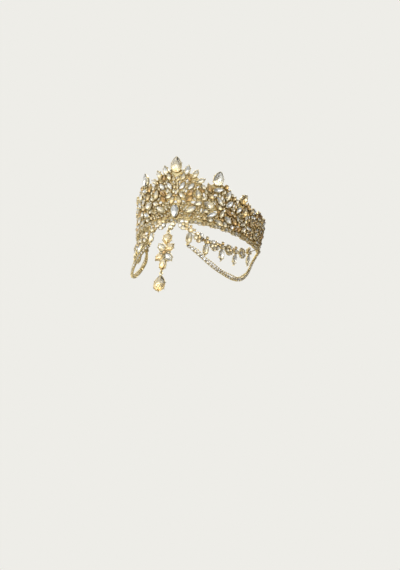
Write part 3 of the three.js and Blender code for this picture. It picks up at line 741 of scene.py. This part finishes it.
def crest_height(angle):
    return float(np.interp(abs(angle), *zip(*CREST)))


def mirrored(row, first):
    """Row of the left half: its angle and turn, from the column given, change sign."""
    row = list(row)
    row[first] = -row[first]
    row[first + 2] = -row[first + 2]
    return tuple(row)


main_stones = list(MIDDLE_STONES)
for row in SIDE_STONES:
    main_stones.append((row[0] + "_right", *row[1:]))
    main_stones.append((row[0] + "_left", *mirrored(row, 2)[1:]))
gaps = MIDDLE_GAPS + SIDE_GAPS + [mirrored(row, 0) for row in SIDE_GAPS]


def inside(points, polygon):
    """Which points of the plane lie inside a polygon."""
    x, y = points[:, 0], points[:, 1]
    result = np.zeros(len(points), bool)
    for (x0, y0), (x1, y1) in zip(polygon, np.roll(polygon, -1, 0)):
        crosses = (y0 > y) != (y1 > y)
        with np.errstate(divide="ignore", invalid="ignore"):
            result ^= crosses & (x < (x1 - x0) * (y - y0) / (y1 - y0) + x0)
    return result


def in_plate(points, loops):
    """Which points lie inside the border, the first loop, and outside the openings, the others."""
    result = inside(points, loops[0])
    for path in loops[1:]:
        result &= ~inside(points, path)
    return result


def gap_path(row):
    """Edge of an opening in the flattened wall."""
    angle, height, turn, length, width = row
    points = outline("navette", length, width, GAP_POINTS)
    c, s = math.cos(turn * RAD), math.sin(turn * RAD)
    east = points[:, 0] * c + points[:, 1] * s
    north = points[:, 1] * c - points[:, 0] * s
    rise = np.linalg.norm(wall(angle, height + 0.5, GAP_OUT) - wall(angle, height - 0.5, GAP_OUT))
    across = angle + east / per_degree(angle, height, GAP_OUT)
    return np.column_stack((across * PLATE_SCALE, height + north / rise))


def plate_triangles(loops):
    """Triangles of the flattened wall between its border and its openings."""
    edges, start = [], 0
    for path in loops:
        edges += [(start + i, start + (i + 1) % len(path)) for i in range(len(path))]
        start += len(path)
    us = np.arange(-END_ANGLE * PLATE_SCALE, END_ANGLE * PLATE_SCALE, PLATE_GRID)
    vs = np.arange(PLATE_GRID / 2, PLATE_TOP, PLATE_GRID)
    field = np.array([(u + 0.5 * PLATE_GRID * (k % 2), v) for k, v in enumerate(vs) for u in us])
    clear = in_plate(field, loops)
    for path in loops:
        clear &= np.linalg.norm(field[:, None] - path[None], axis=2).min(1) > PLATE_CLEAR
    points = [Vector(p) for p in np.concatenate(loops + [field[clear]])]
    verts, _, triangles, *_ = geometry.delaunay_2d_cdt(points, edges, [], 0, PLATE_WELD)
    flat = np.array([v[:] for v in verts])
    middles = np.array([flat[list(t)].mean(0) for t in triangles])
    return flat, [t for t, keep in zip(triangles, in_plate(middles, loops)) if keep]


def pierced_plate(pile):
    """Wall with its openings, of even thickness, and a wire round each edge."""
    steps = np.arange(-END_ANGLE, END_ANGLE + PLATE_STEP / 2, PLATE_STEP)
    bottom = np.column_stack((steps * PLATE_SCALE, np.zeros(len(steps))))
    top = np.array([(a * PLATE_SCALE, crest_height(a)) for a in steps[::-1]])
    openings = [gap_path(row) for row in gaps]
    flat, triangles = plate_triangles([np.concatenate((bottom, top))] + openings)
    count = len(flat)
    inner = [wall(u / PLATE_SCALE, v, 0) for u, v in flat]
    outer = [wall(u / PLATE_SCALE, v, PLATE_THICKNESS) for u, v in flat]
    faces, used = [], set()
    for a, b, c in triangles:
        faces.append((a + count, b + count, c + count))
        faces.append((a, c, b))
        used.update(((a, b), (b, c), (c, a)))
    sides = [(a, b, b + count, a + count) for a, b in sorted(used) if (b, a) not in used]
    finishes = [POLISHED, SATIN] * len(triangles) + [POLISHED] * len(sides)
    pile.add(inner + outer, faces + sides, finishes=finishes)
    for path in openings:
        wire = [wall(u / PLATE_SCALE, v, PLATE_THICKNESS) for u, v in path]
        pile.add(*tube(wire, WIRE_RADIUS, WIRE_SIDES, closed=True))
    for out in (CREST_WIRE["inset"], PLATE_THICKNESS - CREST_WIRE["inset"]):
        wire = [wall(a, crest_height(a), out) for a in steps]
        pile.add(*tube(wire, CREST_WIRE["radius"], WIRE_SIDES))


def section(angle, corners):
    """Ring of points across the wall at an angle; corners are pairs of height and out."""
    return np.array([wall(angle, height, out) for height, out in corners])


def rim_bar(pile):
    """Rim with rounded edges, a line of grains along each edge, and the two end posts."""
    soft = RIM_ROUNDING
    low, high, inner, outer = (RIM_BAR[k] for k in ("low", "high", "inner", "outer"))
    corners = [
        (low + soft, inner), (high - soft, inner), (high, inner + soft), (high, outer - soft),
        (high - soft, outer), (low + soft, outer), (low, outer - soft), (low, inner + soft),
    ]
    pile.add(*loft([section(a, corners) for a in np.arange(-END_ANGLE, END_ANGLE + 1, RIM_STEP)]))
    for side in (-1, 1):
        rings = []
        for back, inset in END_POST[::side]:
            near, far, top = inner + inset, outer - inset, crest_height(END_ANGLE) - inset
            post = [
                (top - soft, near), (top, near + soft), (top, far - soft),
                (top - soft, far), (0, far), (0, near),
            ]
            rings.append(section(side * (END_ANGLE - back), post))
        pile.add(*loft(rings))
    out = outer - RIM_GRAIN["sink"]
    for height in (low + RIM_GRAIN["from_edge"], high - RIM_GRAIN["from_edge"]):
        angle = RIM_GRAIN["from_end"] - END_ANGLE
        while angle < END_ANGLE:
            ball(pile, wall(angle, height, out), RIM_GRAIN["radius"])
            angle += RIM_GRAIN["pitch"] / per_degree(angle, height, out)


def setting_back(pile, shape, angle, height, turn, length, width):
    """Low dome on the inner face, behind a stone that is wide enough and that the wall covers."""
    if width < BACK_LEAST or height >= crest_height(angle) - length / 2:
        return
    seat = on_wall(angle, height, 0, turn)
    seat[:3, 0] *= -1
    seat[:3, 2] *= -1
    edge = outline(shape, length, width, STONE_POINTS)
    points, faces = loft([level(edge, scale, z) for scale, z in BACK_DOME])
    pile.add(points, faces, seat, [SATIN] * len(faces))


def discs(shape, angle, height, turn, length, width):
    """Discs that cover a stone on the wall, to keep others clear: rows of x, y, z and radius."""
    seat = on_wall(angle, height, FILL_LIFT, turn)
    if shape == "round":
        return [(*seat[:3, 3], length / 2)]
    half = outline(shape, length, width, DISC_POINTS)[1:DISC_POINTS // 2:2]
    return [(*(seat[:3, 3] + seat[:3, 1] * y), abs(x)) for x, y in half]


def flow_turn(angle, height):
    """Turn of a filling navette, pointing away from the nearest heart."""
    reach = [((angle - a) * PLATE_SCALE, height - h) for a, h in FILL_HEARTS]
    east, north = min(reach, key=lambda r: r[0] ** 2 + r[1] ** 2)
    return math.atan2(east, north) / RAD


def zone(angle, height):
    """Stretch of the wall: fine round the centre stone, grained behind the temples, leafy between."""
    if angle > GRAINED_FROM:
        return "grained"
    return "fine" if angle < FINE_ZONE["angle"] and height < FINE_ZONE["height"] else "leafy"


class Filling:
    """Small stones of the right half, each kept clear of those before it."""

    def __init__(self, places):
        self.places = places
        self.spots = np.array([wall(a, h, FILL_LIFT) for a, h in places])
        self.room = np.full(len(places), np.inf)
        self.taken = np.empty((0, 4))
        self.rows = []

    def take(self, rows):
        """Marks room as used, by rows of x, y, z and radius."""
        self.taken = np.concatenate((self.taken, rows))
        for *centre, radius in rows:
            self.room = np.minimum(self.room, np.linalg.norm(self.spots - centre, axis=1) - radius)

    def offer(self, shape, length, width, swing=None, zones=(), edge=FILL_EDGE):
        """Sets a stone at each place with room for it; a navette follows the flow, with a swing."""
        for i, (angle, height) in enumerate(self.places):
            if self.room[i] < FILL_TIGHT * width or (zones and zone(angle, height) not in zones):
                continue
            turn = 0 if swing is None else flow_turn(angle, height) + swing
            mine = np.array(discs(shape, angle, height, turn, length, width))
            apart = np.linalg.norm(mine[:, None, :3] - self.taken[None, :, :3], axis=2)
            clear = (apart - mine[:, None, 3] - self.taken[None, :, 3]).min() >= FILL_MARGIN
            below = height + width / 2 <= crest_height(angle) - edge
            if clear and below and abs(mine[:, 0]).min() >= width / 2:
                self.rows.append((shape, angle, height, turn, length, width))
                self.take(mine)


def wall_fill():
    """Small stones, and grains as angle, height and radius, that fill the right half."""
    taken = []
    for _, *place, length, width, _ in main_stones:
        taken += discs(*place, length + MAIN_ROOM, width + MAIN_ROOM)
    for *place, length, width, _ in SMALL_STONES:
        taken += discs(*place, length + SMALL_ROOM, width + SMALL_ROOM)
    for *place, length, width in gaps:
        taken += discs("navette", *place, length - GAP_OVERHANG, width - GAP_OVERHANG)
    crest = Filling([(a, crest_height(a) - CREST_SINK) for a in np.arange(CREST_FROM, FILL_TO, CREST_STEP)])
    crest.take(taken)
    crest.offer("navette", *CREST_NAVETTE, swing=0, edge=CREST_EDGE)
    for size in CREST_ROUNDS:
        crest.offer("round", size, size, edge=CREST_EDGE)
    spread = np.arange(FILL_FROM, FILL_TO, FILL_STEP / FILL_STRETCH)
    places = [(a, h) for h in np.arange(FILL_LOW, FILL_TOP, FILL_STEP) for a in spread]
    draw.shuffle(places)
    fill = Filling(places)
    fill.take(crest.taken)
    for size in FILL_NAVETTES:
        for swing in FILL_SWINGS:
            fill.offer("navette", *size, swing, ["leafy"])
    for size in FILL_ROUNDS:
        fill.offer("round", size, size, zones=["leafy", "grained"])
    for size in FILL_FINE:
        fill.offer("round", size, size)
    stones = len(fill.rows)
    for radius in FILL_GRAINS:
        fill.offer("round", 2 * radius, 2 * radius)
    grains = [(angle, height, size / 2) for _, angle, height, _, size, _ in fill.rows[stones:]]
    return crest.rows + fill.rows[:stones], grains


def fill_tint(angle):
    """Tint of a filling stone: cream to amber, and darker brown in the grained stretch behind the temples,
    partly the stones' smoky colour and partly painted shade of the far sides.
    """
    return draw.choice(FRONT_TINTS if angle < GRAINED_FROM else GRAINED_SMOKE_AND_SHADE_TINTS)


def feed(tree, node, inputs):
    """Inputs of a node by name or place: a socket is linked and a value is stored."""
    for key, value in inputs.items():
        if isinstance(value, bpy.types.NodeSocket):
            tree.links.new(value, node.inputs[key])
        else:
            node.inputs[key].default_value = value


def add_node(tree, kind, inputs=None, **settings):
    made = tree.nodes.new(kind)
    for key, value in settings.items():
        setattr(made, key, value)
    feed(tree, made, inputs or {})
    return made


def new_material(name):
    """New material, its node tree and its surface shader."""
    material = bpy.data.materials.new(name)
    material.use_nodes = True
    tree = material.node_tree
    return material, tree, tree.nodes["Principled BSDF"]


def coordinates(tree, kind):
    return add_node(tree, "ShaderNodeTexCoord").outputs[kind]


def noise(tree, values, kind="Object"):
    inputs = {"Vector": coordinates(tree, kind), **values}
    return add_node(tree, "ShaderNodeTexNoise", inputs).outputs["Fac"]


def ramp(tree, source, stops):
    """Colour ramp over a source socket."""
    made = add_node(tree, "ShaderNodeValToRGB", {"Fac": source})
    band = made.color_ramp
    while len(band.elements) < len(stops):
        band.elements.new(0.5)
    for element, (position, colour) in zip(band.elements, stops):
        element.position = position
        element.color = (*colour, 1)
    return made.outputs["Color"]


def stretched(tree, source, span, ends):
    """Source socket stretched from a span of values to two ends."""
    inputs = {"Value": source, "From Min": span[0], "From Max": span[1], "To Min": ends[0], "To Max": ends[1]}
    return add_node(tree, "ShaderNodeMapRange", inputs).outputs["Result"]


def mixed(tree, share, first, second, blend="MIX"):
    """Two colours mixed by a share."""
    inputs = {"Factor": share, MIX_FIRST: first, MIX_SECOND: second}
    made = add_node(tree, "ShaderNodeMix", inputs, data_type="RGBA", blend_type=blend)
    return made.outputs[MIX_RESULT]


def gold_material(name, gloss):
    """Plated gold with painted shade: brighter on open faces, darkened to brown in the recesses and between
    stones, with a fine uneven polish.
    """
    material, tree, shader = new_material(name)
    plating = ramp(tree, noise(tree, PLATING_NOISE), GOLD_STOPS)
    # Painted shade: ambient occlusion darkens the plating to brown in recesses and between stones
    painted_shade = add_node(tree, "ShaderNodeAmbientOcclusion", PAINTED_SHADE_REACH, samples=PAINTED_SHADE_SAMPLES)
    polish = noise(tree, POLISH_NOISE)
    bump = add_node(tree, "ShaderNodeBump", {"Height": polish, **POLISH_BUMP})
    feed(tree, shader, {
        "Base Color": mixed(tree, 1, plating, ramp(tree, painted_shade.outputs["AO"], PAINTED_SHADE_STOPS), "MULTIPLY"),
        "Metallic": 1,
        "Roughness": stretched(tree, polish, NOISE_SPAN, gloss),
        "Normal": bump.outputs["Normal"],
    })
    return material


def foil_material(name, gloss):
    """Mirror foil on the back of a stone, coloured by the stone's tint with a drift from place to place."""
    material, tree, shader = new_material(name)
    # The tint carries the stone's colour and the painted light from top to foot
    tint = add_node(tree, "ShaderNodeAttribute", attribute_name="tint").outputs["Fac"]
    grain = noise(tree, FOIL_NOISE)
    drift = stretched(tree, grain, NOISE_SPAN, TINT_DRIFT)
    patchy = add_node(tree, "ShaderNodeMath", {0: tint, 1: drift}, operation="ADD")
    feed(tree, shader, {
        "Base Color": ramp(tree, patchy.outputs["Value"], FOIL_STOPS),
        "Metallic": 1,
        "Roughness": stretched(tree, grain, WHOLE_SPAN, gloss),
    })
    return material


def glass_material():
    """Cut glass with faintly uneven polish."""
    material, tree, shader = new_material("cut_glass")
    # The tint carries the stone's colour and the painted light from top to foot
    tint = add_node(tree, "ShaderNodeAttribute", attribute_name="tint").outputs["Fac"]
    feed(tree, shader, {
        "Base Color": ramp(tree, tint, GLASS_STOPS),
        "Transmission Weight": 1,
        "IOR": GLASS_IOR,
        "Roughness": stretched(tree, noise(tree, GLASS_NOISE), WHOLE_SPAN, GLASS_GLOSS),
    })
    return material


gold = gold_material("plated_gold", GOLD_GLOSS)
satin = gold_material("satin_gold", SATIN_GLOSS)
glass = glass_material()
crystal = [glass, foil_material("bright_foil", BRIGHT_GLOSS)]
pearly = [glass, foil_material("soft_foil", SOFT_GLOSS)]


def set_main_stones(plate, settings):
    """Large stones of the wall in their settings, each stone a piece of its own."""
    for name, *place, length, width, tint in main_stones:
        shape, angle, height, turn = place
        gem = Pile()
        seat = on_wall(angle, height, GIRDLE_OUT, turn)
        open_back = name.startswith(OPEN_BACKS)
        set_stone(settings, gem, seat, shape, length, width, tint, CROWN_SETTING, open_back)
        setting_back(plate, *place, length, width)
        looks = pearly if shape == "navette" else crystal
        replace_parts(gem.piece("cut_" + name, "crown", "crystal", looks), name)


def set_filling(plate, settings, gems):
    """Small stones and grains between the large stones, their places mirrored on the left half."""
    stones, grains = wall_fill()
    rows = SMALL_STONES + [(*row, fill_tint(row[1])) for row in stones]
    for angle, height, radius in grains:
        for side in (1, -1):
            ball(settings, wall(side * angle, height, PLATE_THICKNESS + GRAIN_OUT * radius), radius)
    for *place, length, width, tint in rows + [mirrored(row, 1) for row in rows]:
        shape, angle, height, turn = place
        out = PLATE_THICKNESS + CHIP_OUT * width + draw.uniform(*CHIP_RISE)
        seat = leaned(on_wall(angle, height, out, turn), FILL_LEAN)
        set_chip(settings, gems, seat, shape, length, width, tint)
        setting_back(plate, *place, length, width)


def set_rim_stones(settings, gems):
    """Row of small stones along the rim bar."""
    angle, stop = RIM_STONE_RUN
    count = 0
    while angle < stop:
        size, height, out = RIM_STONES[count % len(RIM_STONES)]
        seat = tilted(on_wall(angle, height, out, 0), RIM_STONE_LEAN, 0)
        set_round(settings, gems, seat, size, draw.choice(RIM_TINTS), FLAT_CHIP)
        angle += RIM_STONE_PITCH / per_degree(angle, 0, RIM_STONE_OUT)
        count += 1


def build_crown():
    """Wall, rim, settings and stones of the crown itself."""
    plate, settings, gems = Pile(), Pile(), Pile()
    pierced_plate(plate)
    rim_bar(plate)
    link_ring(plate, (0, LUG_Y, LUG_Z), False)
    set_main_stones(plate, settings)
    set_filling(plate, settings, gems)
    set_rim_stones(settings, gems)
    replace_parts(plate.piece("crown_plate", "crown", "gold", [gold, satin]), "crown_frame")
    settings.piece("crown_settings", "crown", "gold", [gold])
    gems.piece("crown_small_stones", "crown", "crystal", pearly)


def garland_flower(metal, gems, seat):
    """Petals round a raised bud."""
    for i in range(GARLAND_PETAL["count"]):
        turn = 180 + i * 360 / GARLAND_PETAL["count"]
        petal = around(seat, GARLAND_PETAL["ring"], turn, GARLAND_PETAL["raise"])
        petal = tilted(turned(petal, turn + 180), GARLAND_PETAL["tilt"], 0)
        set_chip(metal, gems, petal, "pear", *GARLAND_PETAL["size"], draw.choice(PETAL_TINTS), FLAT_CHIP)
    bud = shifted(seat, 0, 0, GARLAND_BUD["raise"])
    set_round(metal, gems, bud, GARLAND_BUD["size"], CHAMPAGNE)


def garland_link(metal, gems, seat):
    """Round stone with sprigs over it and a navette drop below it."""
    set_round(metal, gems, seat, GARLAND_LINK_SIZE, draw.choice(LINK_TINTS), FLAT_CHIP)
    for turn in GARLAND_SPRIG["turns"]:
        sprig = around(seat, GARLAND_SPRIG["ring"], turn)
        set_round(metal, gems, sprig, GARLAND_SPRIG["size"], draw.choice(SPRIG_TINTS))
    drop = leaned(shifted(seat, 0, -GARLAND_DROP["hang"], 0), DROP_LEAN)
    set_stone(metal, gems, drop, "navette", *GARLAND_DROP["size"], draw.choice(DROP_TINTS), DROP_SETTING)


def build_garland(suffix, side):
    """String of stone flowers and links with navette drops."""
    metal, gems = Pile(), Pile()
    places = [place for _, *place in GARLAND_UNITS] + [GARLAND_END]
    thread = [drape(side * a, h, GARLAND_OUT - GARLAND_THREAD["back"]) for a, h in places]
    thread.append(wall(side * GARLAND_END[0], *STRING_END))
    metal.add(*tube(thread, GARLAND_THREAD["radius"], WIRE_SIDES))
    for kind, angle, height in GARLAND_UNITS:
        seat = on_drape(side * angle, height)
        if kind == "flower":
            garland_flower(metal, gems, seat)
        else:
            garland_link(metal, gems, seat)
    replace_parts(metal.piece("garland_gold_" + suffix, "crown", "gold", [gold]), "garland_" + suffix)
    gems.piece("garland_stones_" + suffix, "crown", "crystal", pearly)


def bead_strand(path):
    """Points of the bead string: over the path, nearer to it at both ends."""
    points = []
    for i, p in enumerate(path):
        along = unit(path[min(i + 1, len(path) - 1)] - path[max(i - 1, 0)])
        up = np.cross(outward(p), along)
        up = up if up[2] > 0 else -up
        share = i / (len(path) - 1)
        parting = min(1, SWAG_BEAD["slope"] * share, SWAG_BEAD["slope"] * (1 - share))
        sway = SWAG_BEAD["sway"] * math.sin(SWAG_BEAD["sways"] * 2 * math.pi * share)
        rise = SWAG_BEAD["offset"] * parting + sway
        points.append(p + up * rise + outward(p) * SWAG_BEAD["out"])
    return points


def build_swag(suffix, side):
    """Cup chain of small stones with a fine string of gold beads along its upper edge."""
    metal, gems = Pile(), Pile()
    anchors = [drape(side * a, h, GARLAND_OUT) for a, h in SWAG_POINTS]
    path = smooth_path(anchors, SWAG_STONE["pitch"])
    back = [p - outward(p) * SWAG_WIRE["back"] for p in path]
    wire = [path[0], *back[1:], wall(side * SWAG_POINTS[-1][0], *STRING_END)]
    metal.add(*tube(wire, SWAG_WIRE["radius"], WIRE_SIDES))
    hook = drape(side * SWAG_POINTS[0][0], SWAG_RING["height"], GARLAND_OUT)
    link_ring(metal, hook, True, SWAG_RING["radius"], SWAG_RING["wire"])
    for p, q in zip(path[:-1], path[1:]):
        middle, along = (p + q) / 2, unit(q - p)
        seat = leaned(facing(middle, along, np.cross(outward(middle), along), 0), SWAG_LEAN)
        tint = draw.choice(SWAG_TINTS)
        set_round(metal, gems, seat, SWAG_STONE["size"], tint, FLAT_CHIP, SWAG_STONE["lip"])
    strand = bead_strand(smooth_path(anchors, SWAG_BEAD["pitch"]))
    metal.add(*tube(strand, SWAG_THREAD["radius"], SWAG_THREAD["sides"]))
    for p in strand:
        ball(metal, p, SWAG_BEAD["radius"])
    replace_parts(metal.piece("swag_gold_" + suffix, "crown", "gold", [gold]), "swag_chain_" + suffix)
    gems.piece("swag_stones_" + suffix, "crown", "crystal", pearly)


def build_links():
    """Two stones on a wire between two rings, from the lug under the rim to the pendant."""
    metal, gems = Pile(), Pile()
    link_ring(metal, (0, LUG_Y, TOP_RING_Z), True)
    link_ring(metal, (0, PENDANT_Y, PENDANT_PIVOT_Z + RING_PLAY), False)
    stones = [np.array((0, y, z)) for y, z in LINK_STONES]
    slope = unit(stones[0] - stones[1])
    path = [(0, LUG_Y, TOP_RING_Z - RING_RADIUS)]
    for p in stones:
        seat = tilted(facing(p, X_AXIS, slope, 0), LINK_STONE_LEAN, 0)
        set_round(metal, gems, seat, LINK_STONE_SIZE, CREAM, FLAT_CHIP)
        path.append(shifted(seat, 0, 0, -LINK_WIRE_BACK)[:3, 3])
    path.append((0, PENDANT_Y, PENDANT_PIVOT_Z + RING_PLAY + RING_RADIUS))
    metal.add(*tube(path, RING_WIRE, RING_SIDES))
    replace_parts(metal.piece("pendant_links_gold", "crown", "gold", [gold]), "pendant_links")
    gems.piece("pendant_link_stones", "crown", "crystal", crystal)


def hang_stone(metal, body, name, shape, z, turn, length, width, tint):
    """Large stone of the pendant in its setting, a piece of its own."""
    gem = Pile()
    set_stone(metal, gem, on_pendant(z, turn), shape, length, width, tint, PENDANT_SETTING)
    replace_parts(gem.piece("cut_" + name, body, "crystal", crystal), name)


def build_pendant():
    """Pear, flower and navette on a spine between two rings."""
    metal, gems = Pile(), Pile()
    link_ring(metal, (0, PENDANT_Y, PENDANT_PIVOT_Z - RING_RADIUS), True)
    link_ring(metal, (0, PENDANT_Y, DROP_PIVOT_Z + RING_PLAY), False)
    spine = [(0, SPINE["y"], z) for _, _, z, *_ in PENDANT_STONES]
    metal.add(*tube(spine, SPINE["radius"], RING_SIDES))
    for row in PENDANT_STONES:
        hang_stone(metal, "pendant", *row)
    flower = on_pendant(PENDANT_FLOWER_Z, 0)
    for turn, tint in PENDANT_PETALS:
        petal = turned(around(flower, PENDANT_PETAL["ring"], turn), turn)
        set_stone(metal, gems, petal, "navette", *PENDANT_PETAL["size"], tint, PETAL_SETTING)
    for turn in PENDANT_BUDS:
        bud = around(flower, PENDANT_BUD["ring"], turn)
        set_round(metal, gems, bud, PENDANT_BUD["size"], CHAMPAGNE)
    eye = shifted(flower, 0, 0, PENDANT_EYE["raise"])
    set_round(metal, gems, eye, PENDANT_EYE["size"], AMBER)
    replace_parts(metal.piece("pendant_gold", "pendant", "gold", [gold]), "pendant_setting")
    gems.piece("pendant_stones", "pendant", "crystal", pearly)


def build_drop():
    """Large pear on the lowest ring."""
    metal = Pile()
    link_ring(metal, (0, PENDANT_Y, DROP_PIVOT_Z - RING_RADIUS), True)
    hang_stone(metal, "drop", *DROP_STONE)
    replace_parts(metal.piece("drop_gold", "drop", "gold", [gold]), "drop_setting")


def build_floor():
    """Pale floor that fades out."""
    edge = circle(FLOOR["points"], X_AXIS, Y_AXIS) * FLOOR["radius"] + Z_AXIS * FLOOR["height"]
    mesh = bpy.data.meshes.new("floor")
    mesh.from_pydata(edge, [], [tuple(range(len(edge)))])
    floor = show("floor", mesh)
    material, tree, shader = new_material("pale_floor")
    mesh.materials.append(material)
    reach = add_node(tree, "ShaderNodeVectorMath", {0: coordinates(tree, "Object")}, operation="LENGTH")
    feed(tree, shader, {
        "Base Color": FLOOR["colour"],
        "Roughness": FLOOR["roughness"],
        "Alpha": stretched(tree, reach.outputs["Value"], FLOOR["fade"], (1, 0)),
    })


def build_room():
    """Pale room, dappled and dimmer on one side where it lights the crown, and even where it is seen."""
    world = bpy.data.worlds.new("room")
    bpy.context.scene.world = world
    world.use_nodes = True
    tree = world.node_tree
    inputs = {0: coordinates(tree, "Generated"), 1: ROOM_BEARING}
    bearing = add_node(tree, "ShaderNodeVectorMath", inputs, operation="DOT_PRODUCT").outputs["Value"]
    wash = ramp(tree, stretched(tree, bearing, (-1, 1), WHOLE_SPAN), ROOM_STOPS)
    dapple = ramp(tree, noise(tree, ROOM_NOISE, "Generated"), DAPPLE_STOPS)
    seen = add_node(tree, "ShaderNodeLightPath").outputs["Is Camera Ray"]
    sky = mixed(tree, seen, mixed(tree, 1, wash, dapple, "MULTIPLY"), BACKDROP)
    feed(tree, tree.nodes["Background"], {"Color": sky, "Strength": 1})
    bpy.context.scene.view_settings.view_transform = "Standard"


def build_lights():
    """Soft discs of light that look at the crown."""
    for name, place, size, power, colour in LIGHTS:
        data = bpy.data.lights.new(name, "AREA")
        data.shape = "DISK"
        data.size = size
        data.energy = power
        data.color = colour
        lamp = show(name, data)
        lamp.location = place
        lamp.rotation_euler = (-Vector(place)).to_track_quat("-Z", "Y").to_euler()


def build_camera():
    """Camera at the photograph's angle and framing."""
    a, e, r = (CAMERA[k] * RAD for k in ("azimuth", "elevation", "roll"))
    back = np.array((math.sin(a) * math.cos(e), -math.cos(a) * math.cos(e), math.sin(e)))
    level_right = np.array((math.cos(a), math.sin(a), 0))
    level_up = np.cross(back, level_right)
    right = math.cos(r) * level_right + math.sin(r) * level_up
    up = math.cos(r) * level_up - math.sin(r) * level_right
    seat = np.eye(4)
    seat[:3, 0], seat[:3, 1], seat[:3, 2] = right, up, back
    seat[:3, 3] = back * CAMERA["distance"] * MM
    data = bpy.data.cameras.new("camera")
    tall = PICTURE["height"]
    data.sensor_width = SENSOR
    data.lens = SENSOR * PICTURE["pixels_per_mm"] * CAMERA["distance"] / tall
    data.shift_x = (PICTURE["width"] / 2 - PICTURE["centre_x"]) / tall
    data.shift_y = (PICTURE["centre_y"] - tall / 2) / tall
    camera = show("camera", data)
    camera.matrix_world = Matrix(seat.tolist())
    bpy.context.scene.camera = camera


build_crown()
for suffix, side in (("right", 1), ("left", -1)):
    build_garland(suffix, side)
    build_swag(suffix, side)
build_links()
build_pendant()
build_drop()
build_floor()
build_room()
build_lights()
build_camera()
